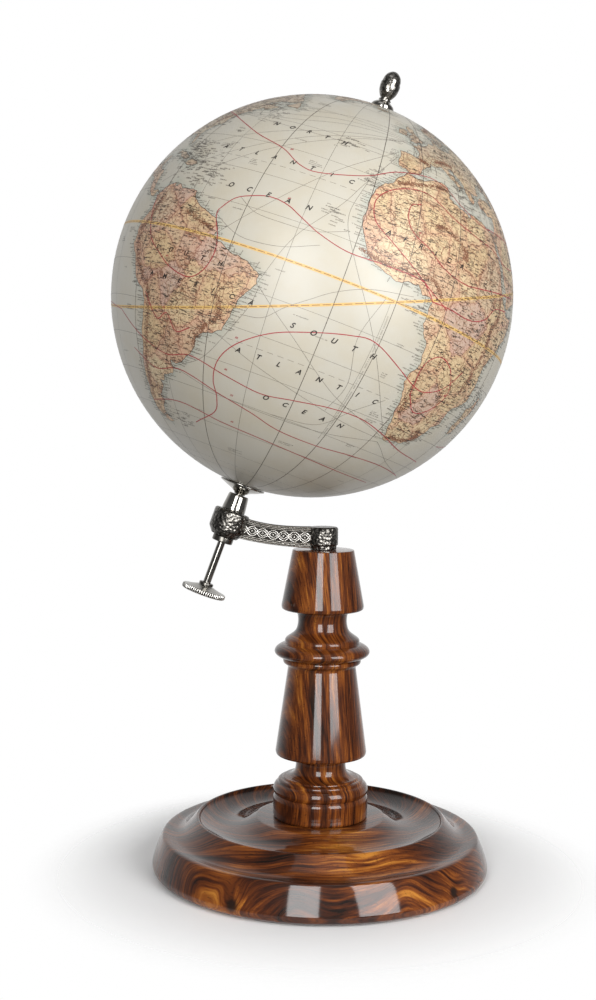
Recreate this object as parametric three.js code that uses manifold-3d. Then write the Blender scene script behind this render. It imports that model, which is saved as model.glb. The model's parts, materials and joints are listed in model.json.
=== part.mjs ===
// Desktop globe on a turned wooden stand, with a one-sided cast arm and a tilted spindle.
// Millimetres, +Z up. The origin is the centre of the underside, where the felt rests.
// The arm and the leaning axis both lie in the XZ plane: the arm reaches towards -X.

import * as THREE from 'three';
import { mergeVertices } from 'three/addons/utils/BufferGeometryUtils.js';
import Module from 'manifold-3d';

const wasm = await Module();
wasm.setup();

// ---------------------------------------------------------------- driving dimensions
const BALL_R = 160;              // outside of the printed paper
const BALL_X = -11.9;            // ball centre
const BALL_Z = 457;
const AXIS_TILT = 19.65;         // degrees from upright
const GREENWICH_ANGLE = -74.76;  // where longitude 0 points at rest, degrees about the axis
const GORES = 12;
const GAP = 0.3;                 // between pieces that touch or nest

const PAPER_T = 0.5;
const SHELL_T = 2.5;
const SKIN_IN_R = BALL_R - PAPER_T;
const SHELL_R = SKIN_IN_R - GAP;
const SHELL_IN_R = SHELL_R - SHELL_T;

const AXLE_R = 3.1;
const AXLE_HOLE_R = AXLE_R + GAP;
const BOSS_S = 192.5;            // arm boss, distance below the ball centre along the axis
const WHEEL_R = 17.9;
const WHEEL_FLUTES = 60;

const BASE_R = 133.9;            // widest, near the bottom
const BASE_TOP_R = 125.7;
const BASE_TOP_Z = 29.4;
const RIDGE_R = 100.4;
const RIDGE_Z = 41.8;
const COLUMN_FOOT_Z = 42;
const COLUMN_TOP_Z = 255;
const COLUMN_TOP_R = 24.8;
const TENON_R = 15;
const TENON_L = 10;
const TIE_R = 3.9;
const TIE_HOLE_R = TIE_R + GAP;

const ARM_T = 9;                 // thickness of the flat bar
const INNER_BOSS_R = 11.8;
const INNER_BOSS_TOP_Z = 273.3;
const INNER_BAR_Z = 264.6;       // middle of the bar where it meets the inner boss
const OUTER_BOSS_R = 14.5;
const BUSH_R = 6;

const FINE = 40;                 // facets round the big turnings
const MEDIUM = 28;               // facets round the column, the inner boss and the dished washer
const BALL_FACETS = 36;
const BALL_FACET_START = 5;      // degrees, so that facets end on the gore edges
const SMALL = 20;                // facets round the small turnings

// ---------------------------------------------------------------- materials
const sheesham = new THREE.MeshStandardMaterial({ color: 0x6b3a1c, roughness: 0.25, metalness: 0 });
const nickel = new THREE.MeshStandardMaterial({ color: 0xc9c5bd, roughness: 0.15, metalness: 1 });
const castNickel = new THREE.MeshStandardMaterial({ color: 0x77736b, roughness: 0.4, metalness: 1 });
const steel = new THREE.MeshStandardMaterial({ color: 0x9a9a9a, roughness: 0.35, metalness: 1 });
const brass = new THREE.MeshStandardMaterial({ color: 0xb08d4a, roughness: 0.3, metalness: 1 });
const felt = new THREE.MeshStandardMaterial({ color: 0x27402f, roughness: 1, metalness: 0 });
const paper = new THREE.MeshStandardMaterial({ color: 0xd6d0bb, roughness: 0.4, metalness: 0 });
const shell = new THREE.MeshStandardMaterial({ color: 0xe4e0d4, roughness: 0.8, metalness: 0 });
const beech = new THREE.MeshStandardMaterial({ color: 0xc69c6d, roughness: 0.6, metalness: 0 });

// ---------------------------------------------------------------- shape helpers
const radians = THREE.MathUtils.degToRad;

function arc(centreR, centreZ, radius, fromDegrees, toDegrees, steps) {
  const points = [];
  for (let i = 0; i <= steps; i += 1) {
    const angle = radians(fromDegrees + ((toDegrees - fromDegrees) * i) / steps);
    points.push([centreR + radius * Math.cos(angle), centreZ + radius * Math.sin(angle)]);
  }
  return points;
}

function curve(points, steps) {
  const spline = new THREE.SplineCurve(points.map(([r, z]) => new THREE.Vector2(r, z)));
  return spline.getPoints(steps).map((p) => [p.x, p.y]);
}

// Turns a profile of [radius, height] points about Z. A bored piece's profile closes on itself.
function turned(profile, facets = SMALL, startDegrees = 0) {
  const bored = profile[0][0] > 0;
  const loop = bored ? [...profile, profile[0]] : profile;
  let doubleArea = 0;
  for (let i = 0; i < loop.length; i += 1) {
    const [r0, z0] = loop[i];
    const [r1, z1] = loop[(i + 1) % loop.length];
    doubleArea += r0 * z1 - r1 * z0;
  }
  const outward = doubleArea > 0 ? loop : [...loop].reverse();
  const points = outward.map(([r, z]) => new THREE.Vector2(r, z));
  const geometry = new THREE.LatheGeometry(points, facets, radians(startDegrees));
  geometry.rotateX(Math.PI / 2);
  return geometry;
}

function solid(geometry) {
  const bare = geometry.clone();
  bare.deleteAttribute('normal');
  bare.deleteAttribute('uv');
  const merged = mergeVertices(bare, 1e-4);
  const mesh = new wasm.Mesh({
    numProp: 3,
    vertProperties: new Float32Array(merged.attributes.position.array),
    triVerts: new Uint32Array(merged.index.array),
  });
  return new wasm.Manifold(mesh);
}

function geometryOf(manifold) {
  const mesh = manifold.getMesh();
  const geometry = new THREE.BufferGeometry();
  geometry.setAttribute('position', new THREE.BufferAttribute(new Float32Array(mesh.vertProperties), 3));
  geometry.setIndex(new THREE.BufferAttribute(new Uint32Array(mesh.triVerts), 1));
  geometry.computeVertexNormals();
  return geometry;
}

function named(name, geometry, material) {
  const mesh = new THREE.Mesh(geometry, material);
  mesh.name = name;
  return mesh;
}

// A plain ring or bored cylinder between two heights.
function ring(innerR, outerR, lowZ, highZ, facets = SMALL) {
  return turned([[innerR, lowZ], [outerR, lowZ], [outerR, highZ], [innerR, highZ]], facets);
}

// A plain round bar between two heights.
function bar(radius, lowZ, highZ, facets = SMALL) {
  return turned([[0, lowZ], [radius, lowZ], [radius, highZ], [0, highZ]], facets);
}

// ---------------------------------------------------------------- stand: base and column
const FELT_R = 124;
const FELT_T = 1.6;
const NUT_POCKET_R = 14;
const NUT_POCKET_Z = 14;
const SOCKET_Z = COLUMN_FOOT_Z - TENON_L - GAP;

function feltPad() {
  return named('felt_pad', bar(FELT_R, 0, FELT_T, FINE), felt);
}

function baseDisc() {
  const underZ = 0.4;
  const profile = [
    [TIE_HOLE_R, NUT_POCKET_Z],
    [NUT_POCKET_R, NUT_POCKET_Z],
    [NUT_POCKET_R, FELT_T + GAP],
    [FELT_R + GAP, FELT_T + GAP],
    [FELT_R + GAP, underZ],
    ...curve([[BASE_R - 6, underZ], [BASE_R - 1.5, 2], [BASE_R, 6], [BASE_R - 3.2, 18], [BASE_TOP_R, 28]], 7),
    [BASE_TOP_R - 1.5, BASE_TOP_Z],
    ...curve([[BASE_TOP_R - 4, BASE_TOP_Z - 0.8], [113.9, 28.6], [108.3, 31], [104.7, 35], [102.3, 39.2]], 5),
    ...arc(RIDGE_R - 0.2, RIDGE_Z - 2.2, 2.2, 30, 130, 3),
    ...curve([[95, 37.6], [85, 34.2], [75, 33.4], [64, 35.4], [55, 39.6]], 6),
    [51, COLUMN_FOOT_Z - GAP],
    [TENON_R + GAP, COLUMN_FOOT_Z - GAP],
    [TENON_R + GAP, SOCKET_Z],
    [TIE_HOLE_R, SOCKET_Z],
  ];
  return named('base_disc', turned(profile, FINE), sheesham);
}

function column() {
  const profile = [
    [TIE_HOLE_R, COLUMN_FOOT_Z - TENON_L],
    [TENON_R, COLUMN_FOOT_Z - TENON_L],
    [TENON_R, COLUMN_FOOT_Z],
    [37.2, COLUMN_FOOT_Z],
    [37.9, 44],
    [37.9, 57.4],
    [36.4, 59.8],
    ...curve([[37.4, 61.2], [37.9, 63.4], [36.3, 67.9], [34.4, 69.4]], 4),
    [33.8, 71.2],
    [30.6, 72.3],
    ...curve([[29.6, 73.4], [24.8, 74.4], [20.8, 78.2], [20, 84], [23, 90.1]], 8),
    [34.8, 90.9],
    [36.5, 93.6],
    [27.3, 160.6],
    [28.4, 163.2],
    [31.2, 166],
    [30.5, 168.2],
    ...curve([[33.4, 168.9], [37.6, 171.8], [37.9, 175], [34.8, 178.2], [30.6, 180]], 6),
    ...curve([[30, 182], [27, 185.8], [20.9, 191.4], [19.6, 198], [21.4, 205.8]], 7),
    [31.6, 207.2],
    [33.2, 210],
    [COLUMN_TOP_R, COLUMN_TOP_Z],
    [TIE_HOLE_R, COLUMN_TOP_Z],
  ];
  return named('column', turned(profile, MEDIUM), sheesham);
}

function tieRod() {
  return named('tie_rod', bar(TIE_R, 4, INNER_BOSS_TOP_Z - 5), steel);
}

function baseWasher() {
  return named('base_washer', ring(TIE_HOLE_R, 12, 11.6, NUT_POCKET_Z - GAP), steel);
}

function baseNut() {
  const acrossCorners = 15;
  const hexagon = bar(acrossCorners / 2, 5, 11.3, 6);
  const thread = bar(TIE_HOLE_R, 4, 12);
  return named('base_nut', geometryOf(solid(hexagon).subtract(solid(thread))), steel);
}

// ---------------------------------------------------------------- arm, in stand coordinates
const tilt = radians(AXIS_TILT);
const axisUp = new THREE.Vector2(Math.sin(tilt), Math.cos(tilt));
const bossCentre = new THREE.Vector2(BALL_X, BALL_Z).addScaledVector(axisUp, -BOSS_S);

// The axis frame: its origin is the ball centre and its +Z is north along the axis.
const axisFrame = new THREE.Matrix4()
  .makeRotationY(tilt)
  .setPosition(BALL_X, 0, BALL_Z);

const OUTER_BOSS_TOP = -182;
const OUTER_BOSS_CONE = -198;
const OUTER_BOSS_BOTTOM = -203;

function barOutline() {
  const outwards = new THREE.Vector2(axisUp.y, -axisUp.x);
  const path = new THREE.CubicBezierCurve(
    bossCentre,
    bossCentre.clone().addScaledVector(outwards, 23),
    new THREE.Vector2(-36, INNER_BAR_Z + 0.5),
    new THREE.Vector2(0, INNER_BAR_Z),
  );
  const steps = 12;
  const endHalfHeight = 9;
  const waist = 1.1;             // how much lower the half height is at mid-length
  const above = [];
  const below = [];
  for (let i = 0; i <= steps; i += 1) {
    const t = i / steps;
    const half = endHalfHeight - waist * 4 * t * (1 - t);
    const along = path.getTangent(t);
    const normal = new THREE.Vector2(-along.y, along.x);
    above.push(path.getPoint(t).addScaledVector(normal, half));
    below.push(path.getPoint(t).addScaledVector(normal, -half));
  }
  return new THREE.Shape([...below, ...above.reverse()]);
}

function arm() {
  const flat = new THREE.ExtrudeGeometry(barOutline(), { depth: ARM_T, bevelEnabled: false });
  flat.rotateX(Math.PI / 2);
  flat.translate(0, ARM_T / 2, 0);
  const outerBoss = turned([
    [0, OUTER_BOSS_BOTTOM],
    [10.5, OUTER_BOSS_BOTTOM],
    [OUTER_BOSS_R - 0.4, OUTER_BOSS_CONE],
    [OUTER_BOSS_R, OUTER_BOSS_CONE + 0.8],
    [OUTER_BOSS_R, OUTER_BOSS_TOP - 1.2],
    [OUTER_BOSS_R - 1.2, OUTER_BOSS_TOP],
    [0, OUTER_BOSS_TOP],
  ], MEDIUM);
  outerBoss.applyMatrix4(axisFrame);
  const innerBoss = turned([
    [0, COLUMN_TOP_Z + GAP],
    [INNER_BOSS_R - 1.2, COLUMN_TOP_Z + GAP],
    [INNER_BOSS_R - 1.2, 258.6],
    [INNER_BOSS_R, 259.4],
    [INNER_BOSS_R, INNER_BOSS_TOP_Z - 1],
    [INNER_BOSS_R - 1, INNER_BOSS_TOP_Z],
    [0, INNER_BOSS_TOP_Z],
  ], MEDIUM);
  const bushHole = bar(BUSH_R + GAP, OUTER_BOSS_BOTTOM - 5, OUTER_BOSS_TOP + 5);
  bushHole.applyMatrix4(axisFrame);
  const tieHole = bar(TIE_HOLE_R, COLUMN_TOP_Z - 2, INNER_BOSS_TOP_Z - 4.5);
  const casting = solid(flat)
    .add(solid(outerBoss))
    .add(solid(innerBoss))
    .subtract(solid(bushHole))
    .subtract(solid(tieHole));
  return named('arm', geometryOf(casting), castNickel);
}

// ---------------------------------------------------------------- fixed pieces on the axis
function bossBush() {
  return named('boss_bush', ring(AXLE_HOLE_R, BUSH_R, OUTER_BOSS_BOTTOM + 0.2, OUTER_BOSS_TOP - 0.2), brass);
}

function taperSleeve() {
  const profile = [
    [AXLE_HOLE_R, -181.7],
    [9.4, -181.7],
    [9.5, -180.6],
    [8.3, -169],
    [7.6, -168],
    [AXLE_HOLE_R, -168],
  ];
  return named('taper_sleeve', turned(profile), nickel);
}

// ---------------------------------------------------------------- spindle: turns in the arm
const AXLE_TOP = 187.6;
const AXLE_BOTTOM = -250.5;
const WHEEL_TOP = -247.4;
const WHEEL_BOTTOM = -251.6;

function axle() {
  return named('axle', bar(AXLE_R, AXLE_BOTTOM, AXLE_TOP), nickel);
}

function lockCollar() {
  return named('lock_collar', ring(AXLE_HOLE_R, 8.4, -208, OUTER_BOSS_BOTTOM - GAP), castNickel);
}

function wheelJamNut() {
  return named('wheel_jam_nut', ring(AXLE_HOLE_R, 5.8, -244.6, -242.2), castNickel);
}

function thumbWheel() {
  const outline = [];
  for (let i = 0; i < WHEEL_FLUTES * 2; i += 1) {
    const radius = i % 2 === 0 ? WHEEL_R : WHEEL_R - 0.7;
    const angle = (Math.PI * i) / WHEEL_FLUTES;
    outline.push(new THREE.Vector2(radius * Math.cos(angle), radius * Math.sin(angle)));
  }
  const plate = new THREE.ExtrudeGeometry(new THREE.Shape(outline), {
    depth: WHEEL_TOP - WHEEL_BOTTOM,
    bevelEnabled: false,
  });
  plate.translate(0, 0, WHEEL_BOTTOM);
  const hub = turned([[0, -249], [14.5, -249], [14.5, -247.4], [7.2, -245], [0, -245]]);
  const hole = bar(AXLE_HOLE_R, AXLE_BOTTOM - GAP, -240);
  return named('thumb_wheel', geometryOf(solid(plate).add(solid(hub)).subtract(solid(hole))), nickel);
}

function finialFlange() {
  const profile = [
    [AXLE_HOLE_R, 161.9],
    [9.2, 161.9],
    [9.6, 162.5],
    [9.6, 165.4],
    ...curve([[8.9, 166.9], [7.4, 168.1], [5.4, 169], [4.8, 170.4]], 4),
    [4.6, 171.6],
    [AXLE_HOLE_R, 171.6],
  ];
  return named('finial_flange', turned(profile), nickel);
}

function acornFinial() {
  const foot = 171.9;
  const outside = [
    [0, foot],
    [4.2, foot],
    ...curve([[4.6, 172.6], [6.6, 175.4], [8, 179.6], [8.1, 184.6]], 6),
    [7.5, 185.4],
    ...curve([[7.5, 186.2], [6.5, 190.6], [4.2, 194]], 4),
    [1.6, 195.4],
    [0, 195.6],
  ];
  const bore = bar(AXLE_HOLE_R, foot - 1, AXLE_TOP + GAP);
  return named('acorn_finial', geometryOf(solid(turned(outside)).subtract(solid(bore))), nickel);
}

// ---------------------------------------------------------------- ball: spins on the spindle
const POLE_HOLE_R = 8.3;

function spherePoint(radius, latitude) {
  return [radius * Math.cos(radians(latitude)), radius * Math.sin(radians(latitude))];
}

// Profile points round a half circle, at the two latitudes and at each ten degrees between.
function meridian(radius, fromLatitude, toLatitude) {
  const low = Math.min(fromLatitude, toLatitude);
  const high = Math.max(fromLatitude, toLatitude);
  const latitudes = [low];
  for (let latitude = -80; latitude <= 80; latitude += 10) {
    if (latitude > low + 1 && latitude < high - 1) {
      latitudes.push(latitude);
    }
  }
  latitudes.push(high);
  const points = latitudes.map((latitude) => spherePoint(radius, latitude));
  return fromLatitude < toLatitude ? points : points.reverse();
}

function hemisphere(name, sign) {
  const seam = sign * 0.06;      // degrees: a hairline at the equator
  const rim = sign * (90 - THREE.MathUtils.radToDeg(Math.asin(POLE_HOLE_R / SHELL_R)));
  const outside = meridian(SHELL_R, seam, rim);
  const inside = meridian(SHELL_IN_R, rim, seam);
  return named(name, turned([...outside, ...inside], BALL_FACETS, BALL_FACET_START), shell);
}

function equatorRing() {
  const profile = [[151, -8], [155.2, -8], [155.6, 0], [155.2, 8], [151, 8]];
  return named('equator_ring', turned(profile, BALL_FACETS, BALL_FACET_START), shell);
}

function poleBush(name, sign) {
  const flangeIn = 152.6 * sign;
  const flangeOut = 155.4 * sign;
  const barrelEnd = 158.2 * sign;
  const profile = [
    [AXLE_HOLE_R, flangeIn],
    [14, flangeIn],
    [14, flangeOut],
    [POLE_HOLE_R - GAP - 0.2, flangeOut],
    [POLE_HOLE_R - GAP - 0.2, barrelEnd],
    [AXLE_HOLE_R, barrelEnd],
  ];
  return named(name, turned(profile), beech);
}

// The paper skin is cut into gores, which are trimmed at the poles and meet edge to edge.
function mapGores() {
  const rim = 90 - THREE.MathUtils.radToDeg(Math.asin(POLE_HOLE_R / SKIN_IN_R));
  const profile = [...meridian(BALL_R, -rim, rim), ...meridian(SKIN_IN_R, rim, -rim)];
  const skin = solid(turned(profile, BALL_FACETS, BALL_FACET_START));
  const width = 360 / GORES;
  const slit = THREE.MathUtils.radToDeg(GAP / 2 / BALL_R);
  const reach = BALL_R * 1.2;
  const gores = [];
  for (let i = 0; i < GORES; i += 1) {
    const west = radians(-width / 2 + width * i + slit);
    const east = radians(width / 2 + width * i - slit);
    const wedge = new THREE.Shape([
      new THREE.Vector2(0, 0),
      new THREE.Vector2(reach * Math.cos(west), reach * Math.sin(west)),
      new THREE.Vector2(reach * Math.cos(east), reach * Math.sin(east)),
    ]);
    const slice = new THREE.ExtrudeGeometry(wedge, { depth: reach * 2, bevelEnabled: false });
    slice.translate(0, 0, -reach);
    const name = `map_gore_${String(i + 1).padStart(2, '0')}`;
    gores.push(named(name, geometryOf(skin.intersect(solid(slice))), paper));
  }
  return gores;
}

function northWasher() {
  const profile = [[AXLE_HOLE_R, 160.3], [9.2, 160.1], [9.2, 160.8], [8.4, 161.6], [AXLE_HOLE_R, 161.6]];
  return named('north_washer', turned(profile), nickel);
}

function dishedWasher() {
  const rimR = 18.5;
  const rimZ = -Math.sqrt(BALL_R ** 2 - rimR ** 2) - GAP;
  const profile = [
    [AXLE_HOLE_R, -BALL_R - GAP],
    [10, -160.1],
    [rimR - 0.6, rimZ],
    [rimR, rimZ - 0.5],
    [rimR - 0.4, rimZ - 1.3],
    [12.5, -163.2],
    [7.4, -165],
    [5.2, -166.4],
    [4.6, -167.7],
    [AXLE_HOLE_R, -167.7],
  ];
  return named('dished_washer', turned(profile, MEDIUM), nickel);
}

// ---------------------------------------------------------------- assembly
const globe = new THREE.Group();
globe.add(feltPad(), baseDisc(), column(), tieRod(), baseWasher(), baseNut(), arm());

const onAxis = new THREE.Group();
onAxis.position.set(BALL_X, 0, BALL_Z);
onAxis.rotation.y = tilt;
onAxis.add(bossBush(), taperSleeve());
onAxis.add(axle(), lockCollar(), wheelJamNut(), thumbWheel(), finialFlange(), acornFinial());

const ball = new THREE.Group();
ball.rotation.z = radians(GREENWICH_ANGLE);
ball.add(hemisphere('hemisphere_north', 1), hemisphere('hemisphere_south', -1), equatorRing());
ball.add(poleBush('north_bushing', 1), poleBush('south_bushing', -1));
ball.add(...mapGores(), northWasher(), dishedWasher());
onAxis.add(ball);
globe.add(onAxis);

export default globe;
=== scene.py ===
"""Looks of the desk globe: lacquered sheesham stand, nickel fittings and a printed map ball."""
import json
import math
import random

import bpy
import numpy as np
from mathutils import Matrix, Vector
from mathutils.geometry import delaunay_2d_cdt


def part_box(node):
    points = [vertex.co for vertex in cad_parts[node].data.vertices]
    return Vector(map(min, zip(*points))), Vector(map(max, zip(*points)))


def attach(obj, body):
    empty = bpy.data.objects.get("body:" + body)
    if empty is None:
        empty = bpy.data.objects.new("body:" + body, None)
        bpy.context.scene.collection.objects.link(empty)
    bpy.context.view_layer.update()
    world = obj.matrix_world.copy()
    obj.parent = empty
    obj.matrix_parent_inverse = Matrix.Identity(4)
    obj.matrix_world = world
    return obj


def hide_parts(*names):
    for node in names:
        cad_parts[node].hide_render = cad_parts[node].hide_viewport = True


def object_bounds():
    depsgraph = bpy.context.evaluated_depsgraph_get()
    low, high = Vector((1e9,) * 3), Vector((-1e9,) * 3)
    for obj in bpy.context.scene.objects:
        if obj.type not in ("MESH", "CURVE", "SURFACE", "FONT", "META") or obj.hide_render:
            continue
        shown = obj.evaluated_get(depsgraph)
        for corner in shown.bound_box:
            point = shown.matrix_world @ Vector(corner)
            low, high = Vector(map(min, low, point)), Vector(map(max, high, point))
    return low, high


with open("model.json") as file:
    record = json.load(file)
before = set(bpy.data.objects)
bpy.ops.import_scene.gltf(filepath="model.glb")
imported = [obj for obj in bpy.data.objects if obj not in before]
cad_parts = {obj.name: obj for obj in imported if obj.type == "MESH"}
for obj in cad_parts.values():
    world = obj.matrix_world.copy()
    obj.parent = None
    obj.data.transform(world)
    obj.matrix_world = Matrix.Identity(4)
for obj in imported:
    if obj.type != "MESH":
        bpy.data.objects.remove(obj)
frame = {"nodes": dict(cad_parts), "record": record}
cad_low, cad_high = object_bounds()

# ------------------------------------------------------------------ places taken from the frame
MM = 0.001
SPIN = frame["record"]["behaviour"]["joints"][1]
BALL_CENTRE = Vector(SPIN["pos_m"])
AXIS = Vector(SPIN["axis"]).normalized()
BALL_R = (cad_high[1] - cad_low[1]) / 2 / MM    # the ball is the widest thing from front to back
GREENWICH = math.radians(-74.76)                # as the gores are set out in the CAD model
TILT = math.atan2(AXIS.x, AXIS.z)
AXIS_FRAME = Matrix.Translation(BALL_CENTRE) @ Matrix.Rotation(TILT, 4, "Y")
UPRIGHT = Matrix.Identity(4)
COLUMN_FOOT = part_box("base_disc")[1][2] / MM    # the ridge stands level with the column's foot
COLUMN_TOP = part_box("column")[1][2] / MM
AXLE_HOLE_R = 3.4
KNURL_RIBS = 60
KNURL_DEPTH = 0.68
CAMERA_BEARING = -96.9                          # degrees round the object from +X to the camera


# ------------------------------------------------------------------ camera
def add_camera():
    """Level camera with a little downward shift, as a studio view camera stands."""
    azimuth = math.radians(-6.883)
    roll = math.radians(0.714)
    focal_px = 1377.0
    frame_px = 1000.0
    sensor = 36.0
    data = bpy.data.cameras.new("camera")
    data.sensor_width = sensor
    data.lens = focal_px * sensor / frame_px
    data.shift_y = -0.0914
    data.shift_x = -0.0011
    data.clip_start = 0.05
    camera = bpy.data.objects.new("camera", data)
    bpy.context.scene.collection.objects.link(camera)
    place = Matrix.Translation((-0.1535, -1.0971, 0.3681))
    turn = Matrix.Rotation(azimuth, 4, "Z") @ Matrix.Rotation(math.pi / 2, 4, "X")
    camera.matrix_world = place @ turn @ Matrix.Rotation(roll, 4, "Z")
    bpy.context.scene.camera = camera


# ------------------------------------------------------------------ shader nodes
class Nodes:
    """Short calls for building a material: each returns the socket that holds its result."""

    def __init__(self, name):
        self.material = bpy.data.materials.new(name)
        self.material.use_nodes = True
        self.tree = self.material.node_tree
        self.shader = self.tree.nodes["Principled BSDF"]

    def add(self, kind, **settings):
        node = self.tree.nodes.new(kind)
        for key, value in settings.items():
            setattr(node, key, value)
        return node

    def feed(self, socket, value):
        if isinstance(value, bpy.types.NodeSocket):
            self.tree.links.new(value, socket)
        else:
            socket.default_value = value

    def set(self, **values):
        for key, value in values.items():
            self.feed(self.shader.inputs[key.replace("_", " ")], value)

    def place(self):
        return self.add("ShaderNodeTexCoord").outputs["Object"]

    def attribute(self, name):
        return self.add("ShaderNodeAttribute", attribute_name=name).outputs["Fac"]

    def scaled(self, vector, scale, turn=(0, 0, 0), shift=(0, 0, 0)):
        node = self.add("ShaderNodeMapping")
        self.feed(node.inputs["Vector"], vector)
        node.inputs["Scale"].default_value = scale
        node.inputs["Rotation"].default_value = turn
        node.inputs["Location"].default_value = shift
        return node.outputs["Vector"]

    def noise(self, vector, scale, detail=3.0, rough=0.5, distortion=0.0, colour=False):
        node = self.add("ShaderNodeTexNoise")
        self.feed(node.inputs["Vector"], vector)
        node.inputs["Scale"].default_value = scale
        node.inputs["Detail"].default_value = detail
        node.inputs["Roughness"].default_value = rough
        node.inputs["Distortion"].default_value = distortion
        return node.outputs["Color" if colour else "Fac"]

    def voronoi(self, vector, scale, feature="F1", output="Distance"):
        node = self.add("ShaderNodeTexVoronoi", feature=feature)
        self.feed(node.inputs["Vector"], vector)
        node.inputs["Scale"].default_value = scale
        return node.outputs[output]

    def math(self, operation, a, b=0.0, clamp=False):
        node = self.add("ShaderNodeMath", operation=operation, use_clamp=clamp)
        self.feed(node.inputs[0], a)
        self.feed(node.inputs[1], b)
        return node.outputs[0]

    def vector(self, operation, a, b=(0, 0, 0)):
        node = self.add("ShaderNodeVectorMath", operation=operation)
        self.feed(node.inputs[0], a)
        self.feed(node.inputs[1], b)
        return node.outputs["Value" if operation in ("LENGTH", "DISTANCE", "DOT_PRODUCT") else "Vector"]

    def span(self, value, low, high, out_low=0.0, out_high=1.0):
        node = self.add("ShaderNodeMapRange", interpolation_type="SMOOTHSTEP")
        self.feed(node.inputs["Value"], value)
        node.inputs["From Min"].default_value = low
        node.inputs["From Max"].default_value = high
        node.inputs["To Min"].default_value = out_low
        node.inputs["To Max"].default_value = out_high
        return node.outputs["Result"]

    def mix(self, factor, a, b, blend="MIX"):
        node = self.add("ShaderNodeMix", data_type="RGBA", blend_type=blend)
        self.feed(node.inputs["Factor"], factor)
        self.feed(node.inputs["A"], rgba(a))
        self.feed(node.inputs["B"], rgba(b))
        return node.outputs["Result"]

    def ramp(self, factor, stops):
        node = self.add("ShaderNodeValToRGB")
        self.feed(node.inputs["Fac"], factor)
        elements = node.color_ramp.elements
        while len(elements) < len(stops):
            elements.new(0.5)
        for element, (position, colour) in zip(elements, stops):
            element.position = position
            element.color = rgba(colour)
        return node.outputs["Color"]

    def bump(self, height, strength, distance):
        node = self.add("ShaderNodeBump")
        self.feed(node.inputs["Height"], height)
        node.inputs["Strength"].default_value = strength
        node.inputs["Distance"].default_value = distance
        self.feed(self.shader.inputs["Normal"], node.outputs["Normal"])


def rgba(colour):
    """Adds the alpha that a colour socket wants; a socket passes through."""
    if isinstance(colour, bpy.types.NodeSocket) or len(colour) == 4:
        return colour
    return (*colour, 1.0)


# ------------------------------------------------------------------ wood
WOOD_STOPS = [
    (0.16, (0.008, 0.003, 0.0015)),
    (0.34, (0.042, 0.010, 0.003)),
    (0.50, (0.105, 0.026, 0.005)),
    (0.66, (0.205, 0.058, 0.009)),
    (0.88, (0.420, 0.165, 0.024)),
]
BLACK_HEART = (0.010, 0.005, 0.003)


def wood(name, heart, along, sway, knots=(), painted_sheen=(), lift=0.0):
    """Sheesham under gloss lacquer. The grain is uneven growth rings round a heart line.

    heart is a point on that line and along its direction, so a cut across the rings shows arcs
    and a cut along them shows streaks. sway bends the rings: its scale and its reach in metres."""
    n = Nodes(name)
    here = n.place()
    scale, reach = sway
    drift = n.vector("SUBTRACT", n.noise(here, scale, 2.0, colour=True), (0.5, 0.5, 0.5))
    here = n.vector("ADD", here, n.vector("MULTIPLY", drift, (reach, reach, reach)))
    for centre, size in knots:
        near = n.span(n.vector("DISTANCE", here, centre), 0.0, size * 3.2, 0.8, 0.0)
        pull = n.add("ShaderNodeVectorMath", operation="SCALE")
        n.feed(pull.inputs[0], n.vector("SUBTRACT", here, centre))
        n.feed(pull.inputs["Scale"], near)
        here = n.vector("ADD", here, pull.outputs["Vector"])
    off = n.vector("SUBTRACT", here, heart)
    run = n.vector("DOT_PRODUCT", off, along)
    radius = n.vector("LENGTH", n.vector("CROSS_PRODUCT", off, along))
    ring = n.add("ShaderNodeCombineXYZ")
    n.feed(ring.inputs["X"], radius)
    n.feed(ring.inputs["Y"], n.math("MULTIPLY", run, 0.03))
    n.feed(ring.inputs["Z"], n.vector("DOT_PRODUCT", off, (0.03, 0.05, 0.03)))
    ring = ring.outputs["Vector"]
    bands = n.noise(ring, 95.0, 2.0, 0.5)
    streaks = n.noise(ring, 420.0, 2.0, 0.6)
    lines = n.noise(ring, 1300.0, 2.0, 0.6)
    tone = n.math("ADD", n.math("MULTIPLY", bands, 0.75), n.math("MULTIPLY", streaks, 0.85))
    tone = n.math("ADD", tone, n.math("MULTIPLY", lines, 0.85))
    tone = n.math("ADD", tone, n.math("MULTIPLY", n.noise(here, 22.0, 2.0), 0.45))
    tone = n.math("SUBTRACT", tone, 0.99 - lift)
    # Painted sheen: lighter patches of tone at the given points stand in for the lacquer's sheen, painted
    # into the colour
    for centre, size, strength in painted_sheen:
        sheen_lift = n.span(n.vector("DISTANCE", n.place(), centre), size * 0.2, size, strength, 0.0)
        tone = n.math("ADD", tone, sheen_lift)
    colour = n.ramp(tone, WOOD_STOPS)
    vein = n.span(n.noise(ring, 130.0, 1.0, 0.4), 0.66, 0.76, 0.0, 0.8)
    colour = n.mix(vein, colour, BLACK_HEART)
    for centre, size in knots:
        core = n.span(n.vector("DISTANCE", n.place(), centre), size * 0.35, size, 0.95, 0.0)
        colour = n.mix(core, colour, BLACK_HEART)
    fleck = n.noise(n.scaled(ring, (1, 12, 12)), 1500.0, 2.0, 0.6)
    colour = n.mix(n.span(fleck, 0.60, 0.66, 0.0, 0.55), colour, BLACK_HEART)
    n.set(Base_Color=colour, Roughness=0.5, Specular_IOR_Level=0.08)
    n.set(Coat_Weight=1.0, Coat_Roughness=0.075, Coat_IOR=1.45)
    n.bump(lines, 0.05, 0.0003)
    return n.material


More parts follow.
